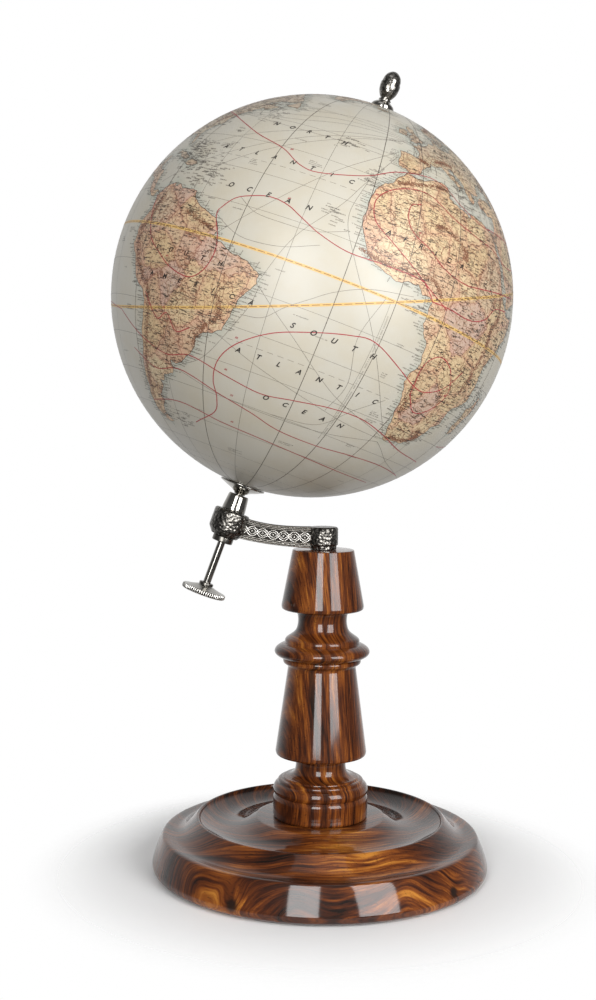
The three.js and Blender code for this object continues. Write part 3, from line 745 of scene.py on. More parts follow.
# ------------------------------------------------------------------ coast outlines, longitude and latitude
COASTS = {
    "south_america": [
        (-77.5, 8.5), (-75.5, 10.6), (-72, 12.1), (-71.5, 10.9), (-70, 12), (-68, 10.6), (-62, 10.7),
        (-61, 8.6), (-58.5, 7), (-55, 5.9), (-52, 4.8), (-50, 1.8), (-50.5, 0.2), (-48.5, -0.8),
        (-44.3, -2.6),
        (-41.5, -2.9), (-39, -3.4), (-36.8, -4.9), (-35.2, -5.6), (-34.9, -8), (-36.5, -10.4),
        (-38.3, -12.9),
        (-39, -15.5), (-39.4, -18), (-40.9, -22), (-43, -23), (-45.5, -23.9), (-48.5, -25.9),
        (-48.7, -28.5),
        (-51.2, -31.5), (-53.5, -34.1), (-56, -34.9), (-58.3, -34.3), (-57.2, -36), (-57.6, -38.1),
        (-62, -39),
        (-62.5, -41), (-65, -41.2), (-63.8, -42.6), (-65.4, -44.6), (-67.5, -46.3), (-65.9, -47.9),
        (-68.3, -50.1), (-69, -51.5), (-68.4, -52.4), (-70.5, -53), (-71, -54), (-73.5, -52.8),
        (-75.3, -50.5),
        (-75.4, -47), (-73.7, -44.5), (-74, -41.8), (-73.5, -38.5), (-72.5, -35), (-71.5, -32),
        (-71.5, -29),
        (-70.5, -25), (-70.2, -20), (-71.5, -17.5), (-75.5, -15), (-77, -12), (-79.5, -8), (-81.2, -6),
        (-80.4, -3.4), (-80.8, -1.5), (-80, 0.8), (-78.8, 2), (-77.3, 3.8), (-77.8, 7.2)],
    "tierra_del_fuego": [(-68.6, -52.7), (-65.2, -54.8), (-68, -55.3), (-71.5, -54.4)],
    "africa": [
        (-5.9, 35.8), (-2, 35.1), (3, 36.9), (10, 37.3), (11, 35), (10.2, 34.2), (15.2, 32.3), (20, 31),
        (20.1, 32.8), (23, 32.7), (29, 30.9), (32.3, 31.3), (32.5, 29.9), (33.5, 27.8), (35.6, 24),
        (37.2, 21),
        (37.5, 18.7), (39.5, 15.5), (42.5, 12.5), (43.3, 11.5), (46, 10.8), (51.2, 11.9), (50.8, 9.5),
        (48, 4.5), (44, 1), (41.5, -1.8), (39.3, -4.8), (39.5, -7.5), (40.6, -10.7), (40.6, -15),
        (36.9, -17.9),
        (34.8, -19.9), (35.5, -23.8), (32.8, -25.6), (32.5, -28.3), (30, -31.3), (27, -33.6), (22, -34.2),
        (20, -34.8), (18.4, -34.1), (17.9, -32.2), (16.5, -28.7), (14.9, -26), (14.4, -22.5), (12, -18),
        (12, -15.5), (13.7, -11), (13, -8.5), (12.2, -5.8), (9.3, -2.2), (9.5, 1), (9.7, 3.8), (8.5, 4.6),
        (6.2, 4.3), (4.4, 6.3), (1, 6), (-2, 4.8), (-4.2, 5.6), (-6.4, 6.2), (-8.6, 6.8), (-10.6, 8),
        (-12.2, 10.1), (-13.4, 12.2), (-14.6, 14.4), (-15.4, 17), (-14.9, 20), (-15.2, 22), (-14.5, 25),
        (-13.7, 27.4), (-12.2, 29.2), (-9.6, 30.6), (-9.2, 32), (-7.6, 33.6), (-6.4, 34.8)],
    "madagascar": [(49.3, -12), (50.4, -15.6), (49, -18.5), (47.2, -24.8), (45, -25.5), (43.5, -23),
                   (44.4, -20), (44.2, -16.5), (47, -15.2)],
    "eurasia": [
        (-5.6, 36), (-6.4, 36.8), (-8.9, 37), (-9.4, 38.7), (-8.8, 41.5), (-9.2, 43.2), (-1.6, 43.5),
        (-1.1, 45.8), (-2.5, 47.3), (-4.7, 48.2), (-1.5, 48.7), (-1.6, 49.7), (1.5, 50.2), (3.8, 51.5),
        (5, 53.3),
        (8.5, 53.9), (8.2, 56.5), (10.5, 57.7), (10.8, 55.5), (12, 54.2), (14.2, 53.9), (18.5, 54.7),
        (21, 55.3),
        (21.5, 57.5), (24.3, 57.3), (23.8, 59), (28, 59.6), (30, 60), (23, 60), (21.3, 61), (25.3, 65),
        (22, 65.8), (17.5, 62), (17.3, 60.7), (18.8, 59.5), (16.5, 56.8), (14.3, 55.5), (12.8, 55.5),
        (11, 59),
        (8.5, 58.2), (5.5, 58.9), (5, 61.8), (10.5, 64.4), (14.5, 67.8), (19, 70), (25.8, 71), (31, 70.3),
        (41, 67.2), (40, 66.3), (34.5, 66.7), (38, 64.2), (44, 66), (44, 68.3), (54, 68.4), (60, 69.2),
        (68.5, 68.3), (67, 70), (70, 73), (73, 71.5), (80, 72.5), (87, 75), (104, 77.6), (113, 75.5),
        (113, 73.8), (128, 72.5), (140, 72.6), (160, 69.7), (170, 70), (180, 69), (190, 66), (186, 64.5),
        (180, 65), (177, 62.5), (170, 60), (163.5, 59.8), (162, 56), (156.8, 51.2), (155.7, 56.5),
        (163, 61.5), (155, 59.3), (143, 59.3), (135.5, 54.8), (141, 52.5), (140, 48.5), (135, 43.5),
        (130.5, 42.5), (127.6, 39.8), (129.4, 37), (129, 35.2), (126.4, 34.5), (126.7, 37.5), (125, 39.7),
        (121.5, 39), (121.8, 40.8), (118, 39), (119, 37.3), (122.5, 37.2), (119.3, 35), (121.9, 31.8),
        (121.8, 29), (119.5, 25.5), (116.5, 23), (110.5, 21.3), (108, 21.7), (105.8, 19), (109.2, 13.5),
        (109, 11.5), (105, 8.8), (104.8, 10.4), (102.5, 12.2), (100.9, 13.4), (100, 12.8), (99.3, 10),
        (100.5, 7.2), (103.4, 4), (104.2, 1.4), (101.3, 2.8), (100.3, 6), (98.3, 8.2), (98.7, 12),
        (97.6, 16.5), (94.3, 16), (94.2, 18.7), (91.8, 22.3), (88, 21.7), (86.8, 20.5), (82.3, 16.6),
        (80.3, 15.5), (80.2, 13), (79.8, 10.3), (77.5, 8.1), (76.3, 10), (74.5, 14), (72.8, 19),
        (72.7, 21),
        (70.5, 20.9), (69, 22.3), (67, 24.8), (61.5, 25.1), (57.3, 25.7), (56.4, 27.1), (51.5, 27.9),
        (50, 30.2), (48, 30), (50, 26.7), (51.5, 25), (54, 24.2), (56.3, 26.2), (56.8, 24.2),
        (59.8, 22.5),
        (57.8, 19), (55.2, 17.5), (52.2, 15.6), (45, 12.8), (43.4, 12.7), (42.7, 16.5), (39, 21.5),
        (35.2, 28.1), (34.7, 29.3), (34.2, 27.9), (32.7, 30), (32.6, 31.2), (34.3, 31.3), (35.8, 35),
        (36.1, 36.8), (32.5, 36.1), (30.6, 36.8), (27.3, 37), (26.3, 39), (29, 41), (31.5, 41.3),
        (35, 42),
        (38.5, 41), (41.5, 41.5), (37.5, 44.7), (39, 47.2), (35, 46.2), (36.5, 45.2), (33.5, 44.5),
        (32.8, 46), (30.7, 46.4), (28.7, 44), (27.9, 42.5), (28.2, 41.3), (26.2, 40.8), (24, 40.7),
        (22.8, 40.4), (24, 37.8), (22.8, 36.6), (21.3, 37.5), (19.4, 40.2), (19.4, 42), (15.2, 44.3),
        (13.6, 45.5), (12.3, 45.2), (12.5, 44), (15.9, 41.9), (18.4, 40.2), (16.9, 40.5), (16.2, 38.2),
        (15.8, 40), (12.3, 41.8), (10.3, 43.5), (8.8, 44.4), (6.5, 43.2), (3.2, 43.2), (3.2, 41.9),
        (-0.3, 39.4), (-0.8, 37.7), (-2.2, 36.8)],
    "britain": [(-5.6, 50.1), (1.3, 51.2), (1.7, 52.7), (0.2, 53.2), (-2, 55.8), (-2, 57.6), (-4, 57.7),
                (-3.2, 58.6), (-5, 58.6), (-6, 56.7), (-4.9, 54.8), (-3, 53.9), (-4.5, 53.1),
                (-5.2, 51.8),
                (-3, 51.4)],
    "ireland": [(-6, 52.2), (-6, 53.8), (-5.6, 54.7), (-7.5, 55.3), (-10, 54.2), (-10.2, 52),
                (-8.5, 51.6)],
    "iceland": [(-22.5, 63.9), (-18.5, 63.4), (-13.7, 65), (-16, 66.5), (-22.5, 66.4), (-24, 65.5)],
    "greenland": [(-43.5, 60), (-40.5, 65), (-30, 68.2), (-22, 70.5), (-19, 75), (-18, 80), (-30, 83.5),
                  (-60, 82), (-72, 78.5), (-60, 76), (-54, 71), (-53.5, 67), (-48.5, 61.2)],
    "north_america": [
        (-77.5, 8.5), (-79.5, 9), (-80.2, 7.4), (-83, 8.3), (-85.8, 10.2), (-87.6, 13), (-92, 14.5),
        (-95, 16.1), (-99.5, 16.7), (-105.4, 20), (-105.5, 22.8), (-109, 26), (-113, 31.2),
        (-114.7, 31.7),
        (-111.3, 26), (-109.5, 23), (-112.2, 26.2), (-115, 29.5), (-117.1, 32.5), (-120.6, 34.5),
        (-123.8, 39), (-124.3, 43), (-124.6, 48.3), (-123, 48.8), (-128, 51.5), (-131, 55.5),
        (-136, 58.5),
        (-142, 60), (-149, 60), (-152, 59.2), (-158, 56.5), (-164, 54.8), (-158, 58.5), (-162.5, 59.5),
        (-166, 62.5), (-161, 64.5), (-168, 65.6), (-163, 67), (-166.5, 68.4), (-156.5, 71.3),
        (-141, 69.6),
        (-128, 70.2), (-115, 68.5), (-108, 68), (-95, 68.5), (-94, 72), (-88, 68.5), (-81.5, 69),
        (-86, 66.5), (-94, 61), (-92.5, 57), (-82.5, 55.2), (-82, 53), (-79.5, 51.3), (-79, 54.5),
        (-77, 57),
        (-78, 62.4), (-70, 61), (-65, 58.5), (-61.5, 56.5), (-57.2, 53.5), (-57, 51.5), (-66, 50.2),
        (-70, 47), (-65, 48.7), (-64.7, 46.5), (-61, 45.8), (-65.8, 43.6), (-67, 44.8), (-70.5, 43.2),
        (-70, 41.7), (-74, 40.6), (-75.3, 38.2), (-76, 36.9), (-75.6, 35.3), (-78.5, 33.8), (-81.2, 31.5),
        (-81.3, 29.5), (-80.2, 26.5), (-80.8, 25.2), (-82.7, 28), (-84, 30), (-88, 30.3), (-91, 29.2),
        (-94.5, 29.6), (-97.3, 27.5), (-97.7, 22.5), (-95.5, 18.5), (-91.5, 18.6), (-90.4, 21),
        (-87, 21.5),
        (-88.3, 17), (-84, 15.9), (-83.3, 12.5), (-82, 9.2), (-79.5, 9.6)],
    "newfoundland": [(-59.3, 47.7), (-53, 46.8), (-53.5, 48.8), (-55.7, 51.5), (-58, 49.5)],
    "baffin": [(-65, 62), (-62, 66.5), (-68, 70), (-80, 73.5), (-89, 71), (-78, 69.8), (-73, 67),
               (-73, 64.5)],
    "cuba": [(-84.9, 21.9), (-82, 23.1), (-77.5, 21.8), (-74.2, 20.2), (-77.5, 19.9), (-81, 22)],
    "hispaniola": [(-74.4, 18.4), (-73, 19.9), (-69.8, 19.7), (-68.4, 18.6), (-71.5, 17.8)],
    "australia": [
        (114, -22), (116.5, -20.7), (122.2, -18), (125, -14.5), (129, -15), (132.5, -11.5),
        (136.8, -12.2),
        (135.5, -15), (139.5, -17.5), (141.5, -13), (142.5, -10.8), (145.3, -15), (149, -20.5),
        (153, -25),
        (153.5, -29), (150.5, -35.5), (147, -38.3), (143.5, -38.8), (140.5, -38), (138, -35.5),
        (137.7, -33),
        (135.5, -34.7), (131, -31.5), (126, -32.3), (120, -34), (115.2, -34.3), (115.7, -31.5),
        (113.5, -26)],
    "tasmania": [(144.8, -41), (148.3, -41), (147.5, -43.3), (145.8, -43)],
    "new_zealand_north": [(173, -34.6), (175.5, -36.8), (178.4, -37.7), (176.8, -40.2), (174.9, -41.4),
                          (173.9, -39.2), (174.8, -37.5)],
    "new_zealand_south": [(172.7, -40.7), (174.2, -41.8), (171.2, -44.2), (168.8, -46.6), (166.6, -45.8),
                          (170.6, -42.9)],
    "new_guinea": [(131, -1), (137.8, -1.6), (144.5, -3.9), (147.8, -6.2), (150.6, -10.4), (146.2, -8.8),
                   (142.5, -9.2), (138, -8.3), (137.8, -5.2), (132.8, -4)],
    "borneo": [(109.2, 1.8), (113, 3.3), (116.8, 7), (119.2, 5.2), (117.8, 1), (116, -3.8),
               (111.5, -3.4)],
    "sumatra": [(95.4, 5.6), (98.5, 4), (103.8, -0.8), (105.9, -5.8), (102.2, -4), (98.7, 1.6)],
    "java": [(105.4, -6.7), (108.5, -6.7), (112.7, -6.9), (114.5, -8.5), (108.5, -7.8)],
    "celebes": [(119.8, 0.6), (125, 1.4), (120.2, 0.2), (123.3, -0.8), (121.2, -2), (122.8, -4.6),
                (120.4, -3), (120, -5.6), (119, -3)],
    "luzon": [(120.4, 18.4), (122.2, 18.3), (121.6, 15), (124, 12.8), (120.8, 14)],
    "mindanao": [(122, 7), (125.5, 9.8), (126.4, 7), (125.2, 5.7), (123.8, 7.7)],
    "honshu": [(131, 34), (135.6, 35.5), (139.5, 38.5), (141, 41.5), (142, 39.5), (140.6, 35.6),
               (135.8, 33.5)],
    "hokkaido": [(140, 42), (141.6, 45.4), (145.3, 43.4), (143, 42)],
    "kyushu": [(129.6, 33.2), (131.9, 33.4), (131, 31.2), (130, 31.8)],
    "formosa": [(120.1, 23.2), (121.6, 25.2), (120.9, 22)],
    "ceylon": [(79.8, 8.5), (80.4, 9.7), (81.8, 7.4), (80.4, 6)],
}


def coast_outline(name, points):
    """Closed outline with fractal detail, so that a listed shore gets bays and heads."""
    rng = random.Random(name)
    loop = list(points)
    for wiggle in (0.11, 0.12, 0.12, 0.12):
        finer = []
        for a, b in zip(loop, loop[1:] + loop[:1]):
            finer.append(a)
            dx = b[0] - a[0]
            dy = b[1] - a[1]
            if math.hypot(dx * math.cos(math.radians(a[1])), dy) > 0.9:
                push = rng.uniform(-wiggle, wiggle)
                finer.append(((a[0] + b[0]) / 2 - dy * push, (a[1] + b[1]) / 2 + dx * push))
        loop = finer
    return loop


OUTLINES = {name: coast_outline(name, points) for name, points in COASTS.items()}


def inside_land(lon, lat):
    """True for each point that lies in any outline; takes arrays of degrees."""
    lon = np.asarray(lon, float)
    lat = np.asarray(lat, float)
    found = np.zeros(lon.shape, bool)
    for loop in OUTLINES.values():
        xs = np.array([p[0] for p in loop])
        ys = np.array([p[1] for p in loop])
        for shift in (-360.0, 0.0, 360.0):
            moved = lon + shift
            near = (moved > xs.min()) & (moved < xs.max()) & (lat > ys.min()) & (lat < ys.max())
            if not near.any():
                continue
            x = moved[near]
            y = lat[near]
            odd = np.zeros(x.shape, bool)
            for x0, y0, x1, y1 in zip(xs, ys, np.roll(xs, -1), np.roll(ys, -1)):
                if y0 == y1:
                    continue
                crosses = (y0 > y) != (y1 > y)
                odd ^= crosses & (x < (x1 - x0) * (y - y0) / (y1 - y0) + x0)
            found[near] |= odd
    return found


# ------------------------------------------------------------------ sphere geometry
ROTATE = np.array(AXIS_FRAME.to_3x3())
CENTRE = np.array(BALL_CENTRE)
POLE = np.array(AXIS)


def unit(lon, lat):
    """Directions from the ball centre, in the row frame, for arrays of degrees."""
    lon = np.radians(np.asarray(lon, float)) + GREENWICH
    lat = np.radians(np.asarray(lat, float))
    local = np.stack([np.cos(lat) * np.cos(lon), np.cos(lat) * np.sin(lon), np.sin(lat)], -1)
    return local @ ROTATE.T


def east_north(lon, lat):
    east = (unit(lon + 0.01, lat) - unit(lon - 0.01, lat))
    north = (unit(lon, lat + 0.01) - unit(lon, lat - 0.01))
    east /= np.linalg.norm(east, axis=-1, keepdims=True)
    north /= np.linalg.norm(north, axis=-1, keepdims=True)
    return east, north


class Print:
    """Collects flat shapes of one ink and lays them on the ball at one height."""

    def __init__(self, name, material, radius):
        self.name = name
        self.material = material
        self.radius = radius
        self.verts = []
        self.faces = []
        self.count = 0

    def shape(self, points, faces):
        points = np.asarray(points)
        self.verts.append(points / np.linalg.norm(points, axis=1, keepdims=True))
        self.faces += [[self.count + i for i in face] for face in faces]
        self.count += len(points)

    def quads(self, corners):
        """Many four-cornered shapes at once, as an array of shapes by corners by 3."""
        self.shape(corners.reshape(-1, 3), np.arange(len(corners) * 4).reshape(-1, 4).tolist())

    def ribbon(self, directions, width):
        """A line of the given width in mm along unit directions."""
        d = np.asarray(directions)
        if len(d) < 2:
            return
        tangent = np.gradient(d, axis=0)
        side = np.cross(d, tangent)
        side /= np.maximum(np.linalg.norm(side, axis=1, keepdims=True), 1e-9)
        half = np.broadcast_to(np.asarray(width) / 2 / BALL_R, (len(d),))[:, None]
        points = np.concatenate([d + side * half, d - side * half])
        count = len(d)
        faces = [(i, i + count, i + count + 1, i + 1) for i in range(count - 1)]
        self.shape(points, faces)

    def line(self, lonlat, width):
        pts = np.array(lonlat, float)
        self.ribbon(unit(pts[:, 0], pts[:, 1]), width)

    def finish(self):
        directions = np.concatenate(self.verts)
        verts = CENTRE + directions * self.radius * MM
        piece = new_piece(self.name, verts, self.faces, self.material, "ball",
                          normals=directions)
        return piece


# ------------------------------------------------------------------ gores
GORE_COUNT = 12
PAPER_TOP = BALL_R - 0.12
PAPER_BOTTOM = BALL_R - 0.45


def clipped_segments(west, east):
    """Coast stretches between two meridians, as pairs of points."""
    found = []
    for loop in OUTLINES.values():
        for a, b in zip(loop, loop[1:] + loop[:1]):
            for shift in (-360.0, 0.0, 360.0):
                (x0, y0), (x1, y1) = sorted([(a[0] + shift, a[1]), (b[0] + shift, b[1])])
                if x1 <= west or x0 >= east:
                    continue
                slope = (y1 - y0) / (x1 - x0) if x1 > x0 else 0.0
                if x0 < west:
                    x0, y0 = west, y0 + slope * (west - x0)
                if x1 > east:
                    x1, y1 = east, y1 - slope * (x1 - east)
                found.append(((x0, y0), (x1, y1)))
    return found


def shore_strength(lon, lat, segments):
    """1 on the coast, fading to 0 a few degrees away."""
    if not segments:
        return np.zeros(len(lon))
    coast = np.array([s[0] for s in segments])
    nearest = np.full(len(lon), 90.0)
    squeeze = np.cos(np.radians(lat))
    for x, y in coast:
        nearest = np.minimum(nearest, np.hypot((lon - x) * squeeze, lat - y))
    return np.exp(-nearest / 1.6)


def add_gore(index, material):
    width = 360.0 / GORE_COUNT
    slit = 0.012
    west = -width / 2 + width * index + slit
    east = width / 2 + width * index - slit
    rim = 87.0
    lons = np.linspace(west, east, 13)
    lats = np.linspace(-rim, rim, 71)
    points = [Vector((x, y)) for y in lats for x in lons]
    edges = []
    cols = len(lons)
    rows = len(lats)
    for j in range(rows - 1):
        edges.append((j * cols, (j + 1) * cols))
        edges.append((j * cols + cols - 1, (j + 1) * cols + cols - 1))
    for i in range(cols - 1):
        edges.append((i, i + 1))
        edges.append(((rows - 1) * cols + i, (rows - 1) * cols + i + 1))
    segments = clipped_segments(west, east)
    for a, b in segments:
        edges.append((len(points), len(points) + 1))
        points += [Vector(a), Vector(b)]
    flat, _, triangles, *_ = delaunay_2d_cdt(points, edges, [], 0, 1e-5)
    xy = np.array([tuple(p) for p in flat])
    tris = np.array([t for t in triangles if len(t) == 3])
    corners = xy[tris]
    area = np.cross(corners[:, 1] - corners[:, 0], corners[:, 2] - corners[:, 0])
    tris = np.where((area < 0)[:, None], tris[:, ::-1], tris)[np.abs(area) > 1e-9]
    middle = xy[tris].mean(axis=1)
    land = inside_land(middle[:, 0], middle[:, 1]).astype(float)
    directions = unit(xy[:, 0], xy[:, 1])
    count = len(xy)
    verts = np.concatenate([directions * PAPER_TOP, directions * PAPER_BOTTOM]) * MM + CENTRE
    faces = [tuple(t) for t in tris] + [(t[2] + count, t[1] + count, t[0] + count) for t in tris]
    used = {}
    for t in tris:
        for a, b in ((t[0], t[1]), (t[1], t[2]), (t[2], t[0])):
            used[(int(a), int(b))] = True
    walls = [(a, b) for a, b in used if (b, a) not in used]
    faces += [(b, a, a + count, b + count) for a, b in walls]
    normals = np.concatenate([directions, -directions])
    name = f"map_gore_{index + 1:02d}"
    piece = new_piece("paper_" + name, verts, faces, material, "ball", (name,),
                      normals=normals)
    whole = len(piece.data.polygons)
    values = np.zeros(whole)
    values[:len(land)] = land
    piece.data.attributes.new("land", "FLOAT", "FACE").data.foreach_set("value", values)
    shade = random.Random(index * 7 + 3).uniform(0.0, 1.0)
    piece.data.attributes.new("gore", "FLOAT", "FACE").data.foreach_set("value", np.full(whole, shade))
    strength = shore_strength(xy[:, 0], xy[:, 1], segments)
    shore = np.concatenate([strength, strength])
    piece.data.attributes.new("shore", "FLOAT", "POINT").data.foreach_set("value", shore)
    americas = (np.mod(xy[:, 0] + 180, 360) - 180) < -40
    pale = np.clip(np.where(americas, xy[:, 1] - 12, xy[:, 1] - 38) / 8, 0, 1)
    piece.data.attributes.new("pale", "FLOAT", "POINT").data.foreach_set("value",
                                                                         np.concatenate([pale, pale]))


# ------------------------------------------------------------------ printed lines
def add_graticule(fine, bold):
    lat = np.arange(-87.0, 87.01, 1.0)
    for lon in range(-180, 180, 15):
        seam = (lon + 15) % 30 == 0
        line = unit(np.full(lat.shape, float(lon)), lat)
        if seam or lon == 0:
            bold.ribbon(line, 0.48)
        else:
            fine.ribbon(line, 0.26)
    lon = np.arange(-180.0, 180.01, 1.5)
    for parallel in range(-80, 81, 10):
        if parallel:
            fine.ribbon(unit(lon, np.full(lon.shape, float(parallel))), 0.22)
    for special in (23.45, -23.45, 66.55, -66.55):
        for start in np.arange(-180, 180, 3.0):
            dash = np.array([start, start + 0.9, start + 1.8])
            fine.ribbon(unit(dash, np.full(3, special)), 0.24)


def great_band(gold, dark, latitude_of):
    """A gold band with a broken dark rule: the equator and the sun's path."""
    lon = np.arange(-180.0, 180.01, 1.0)
    gold.ribbon(unit(lon, latitude_of(lon)), 2.1)
    for start in np.arange(-180.0, 180.0, 2.5):
        dash = np.linspace(start, start + 1.9, 4)
        dark.ribbon(unit(dash, latitude_of(dash)), 0.45)


def ecliptic(lon):
    return np.degrees(np.arctan(math.tan(math.radians(23.45)) * np.sin(np.radians(lon))))


def equator(lon):
    return np.zeros(np.shape(lon))


def curve_line(sheet, points, width, steps=12):
    sheet.line(smooth(points, steps), width)


ISOTHERMS = [
    [(-98, 45), (-85, 42), (-75.8, 39.4), (-63.2, 35), (-54.8, 32), (-44.2, 29.2), (-37, 25.6),
     (-30.6, 25.1),
     (-18.4, 29), (-9.2, 34.4), (1.6, 37.5), (8.9, 37.1), (15.1, 33.8), (24.9, 31.2), (33.2, 31.7),
     (50, 33)],
    [(-52.3, 7.1), (-49.2, 11.1), (-44.9, 13), (-40.2, 14.1), (-35, 13.5), (-29.5, 11.1), (-24.3, 8.9),
     (-16.2, 7.1), (-6.8, 7.5), (4.2, 7.8), (7.6, 6.0), (9.8, 3.9)],
    [(-78, 8), (-76, 2), (-72.4, -3.8), (-67.2, -7.2), (-61.4, -10.3), (-54.6, -11.5), (-50.5, -8.9),
     (-48.7, -4.2), (-49.4, 0.2), (-52, 5.1), (-52.3, 7.1)],
    [(15, 3.5), (7.9, 6.5), (2.1, 9.6), (-6, 13.9), (-11.7, 17.3), (-13.5, 21.8), (-12.4, 25.3),
     (-8.9, 28.5),
     (-2.7, 31.2), (3.6, 31.5), (11.5, 28.4), (19.1, 26.9), (25.4, 26.2), (31.5, 26), (42, 24), (60, 27)],
    [(0, 27.5), (-3.1, 25.8), (-3.1, 21.6), (-0.4, 18.4), (5, 16.3), (11, 13.1), (19, 12), (26.8, 13.3),
     (36, 15), (50, 17)],
    [(9.8, 3.9), (16, 4.1), (24.5, 4), (31.1, 6.4), (35.4, 10.4), (44, 12)],
    [(-50, -52), (-40.5, -46), (-39.5, -41), (-41.3, -35.8), (-40.5, -30), (-36.1, -24.3), (-27.6, -18.6),
     (-18, -14.9), (-8.1, -12), (-1.3, -11.3), (8.8, -15.1), (14.8, -17.4), (20, -18), (26, -15),
     (30, -9)],
    [(-85, -24), (-72, -30), (-60, -33), (-50.1, -31.3), (-37.4, -33.5), (-25.4, -35), (-15.4, -33.6),
     (-4, -31.8), (6.4, -31.4), (16, -33), (30, -36), (48, -37)],
    [(-78, -34), (-66, -38), (-54.1, -36.2), (-38.3, -39.5), (-26.8, -41.7), (-15.5, -44.2),
     (-0.5, -44.6),
     (14.2, -43.5), (30, -43), (50, -44)],
    [(-75, -49), (-56.3, -46.5), (-37.8, -48.4), (-22.7, -49.2), (-1.5, -50.2), (19.4, -50.9), (40, -51)],
    [(16, -20), (21, -24), (26, -22), (29, -16), (25, -10), (19, -8), (15, -12), (16, -20)],
    [(-70, -18), (-64, -24), (-60, -22), (-56, -26), (-51, -24)],
    [(60, 27), (75, 24), (90, 27), (110, 24), (130, 30), (150, 28), (170, 24), (195, 27), (220, 24),
     (245, 26)],
    [(48, -30), (70, -28), (95, -31), (118, -24), (135, -20), (155, -26), (185, -24), (215, -28),
     (250, -22),
     (275, -24)],
]

ROUTES = [
    [(-74, 40.5), (-50, 44), (-30, 48), (-6, 49.5)],
    [(-74, 40.5), (-50, 41.5), (-30, 46), (-6, 49)],
    [(-70, 42), (-50, 47), (-30, 51), (-11, 52)],
    [(-74, 40.5), (-50, 38), (-28, 38), (-9, 38.5)],
    [(-62, 18), (-45, 30), (-25, 41), (-5, 49)],
    [(-75, 24), (-55, 33), (-30, 42), (-6, 49)],
    [(-80, 12), (-60, 24), (-35, 38), (-8, 48)],
    [(-51, 0), (-40, 12), (-26, 28), (-10, 42)],
    [(-34.9, -8), (-30, 6), (-22, 18), (-17, 28), (-10, 40)],
    [(-17, 28), (-19, 16), (-14, 6), (-4, -8), (8, -24), (17, -33)],
    [(-34.9, -8), (-24, -16), (-5, -28), (17, -34)],
    [(-43, -23), (-25, -29), (0, -34), (17, -35)],
    [(-57, -36), (-35, -40), (-5, -40), (18, -36)],
    [(-52.3, 7.1), (-52, 5.8), (-45, 2.4), (-39.1, 1.8), (-31.4, 2.9), (-23.3, 6.2)],
    [(-36.8, -16.6), (-30.9, -15.5), (-26.1, -11.2), (-20.9, -7.2), (-15.7, -3.4), (-7.7, 0.4), (4, 3)],
    [(-57, -36), (-45, -30), (-36, -16), (-34, -8)],
    [(-48, 12), (-42, 9), (-34, 8.5), (-26, 9), (-18, 12)],
    [(-5, -33), (-3, -24), (-6, -12), (-3, 0)],
    [(-20, -40), (-5, -38), (3, -30), (10, -24)],
    [(18, -36), (35, -42), (70, -45), (110, -40), (140, -39)],
    [(50, 12), (65, 12), (80, 7), (95, 6)],
    [(80, 6), (95, -8), (112, -32)],
    [(140, 35), (170, 46), (200, 50), (235, 48)],
    [(237, 37), (215, 24), (190, 0), (175, -35)],
]

WORDS = [
    ("NORTH", -52.6, -27.6, 37.8, 3.5), ("ATLANTIC", -62.1, -21.1, 25.8, 3.5),
    ("OCEAN", -51.9, -29.0, 14.6, 3.7),
    ("SOUTH", -22.4, 0.3, -14.7, 3.9), ("ATLANTIC", -34.5, 7.6, -25.4, 3.7),
    ("OCEAN", -22.9, 2.7, -35.5, 3.7),
    ("AFRICA", -7.2, 17.0, 16.0, 3.8), ("SOUTH", -68.0, -45.7, -5.8, 3.5),
    ("AMERICA", -67.8, -34.5, -12.8, 3.5),
    ("EUROPE", 8.0, 40.0, 51.0, 3.4), ("ASIA", 60.0, 110.0, 46.0, 5.4),
    ("AUSTRALIA", 119.0, 147.0, -25.0, 4.0),
    ("NORTH", -122.0, -92.0, 56.0, 4.2), ("AMERICA", -117.0, -84.0, 41.0, 4.2),
    ("INDIAN", 66.0, 92.0, -12.0, 4.0), ("OCEAN", 68.0, 90.0, -24.0, 4.0),
    ("NORTH", 165.0, 195.0, 32.0, 4.0), ("PACIFIC", 158.0, 204.0, 20.0, 4.0),
    ("OCEAN", 166.0, 196.0, 9.0, 4.0),
    ("SOUTH", -145.0, -115.0, -14.0, 4.0), ("PACIFIC", -152.0, -106.0, -26.0, 4.0),
    ("OCEAN", -144.0, -116.0, -37.0, 4.0),
]

RANGES = [
    [(-74, 8), (-76, 2), (-78.5, -2), (-77, -9), (-72, -14), (-68.5, -19), (-68.5, -26), (-70, -33),
     (-71.5, -40), (-73, -48)],
    [(-62, 5), (-56, 3), (-52, 2)], [(-44, -14), (-43, -19), (-47, -23), (-50, -28)],
    [(-8, 31), (-3, 33), (5, 35.5), (9, 36)], [(38, 14), (39, 9), (36, 5), (36, 0), (35, -8), (34, -14)],
    [(29, -28), (30, -31), (25, -33), (20, -33)], [(6, 23), (9, 24), (17, 21), (18, 18)],
    [(-13, 9), (-8, 8), (-2, 8), (8, 9), (12, 6)], [(15, -12), (16, -20), (17, -26)],
    [(-125, 56), (-118, 50), (-113, 45), (-108, 39), (-105, 33), (-104, 25), (-99, 18)],
    [(-82, 36), (-76, 41)], [(6, 45), (10, 46.6), (15, 47)], [(-1, 43), (2, 42.6)],
    [(72, 36), (78, 32), (86, 28.3), (94, 29)], [(60, 66), (59, 58), (58, 52)],
    [(8, 61), (13, 65), (18, 69)],
    [(88, 50), (98, 51), (110, 55), (130, 60)], [(148, -36), (152, -30), (146, -20)],
]


def add_isotherms(sheet):
    rng = random.Random(5)
    for points in ISOTHERMS:
        curve_line(sheet, points, 0.66)
        spot = smooth(points, 12)[len(points) * 4]
        label(sheet, spot[0], spot[1] + 1.5, "%d" % rng.choice((40, 50, 60, 70, 80)), 1.5)


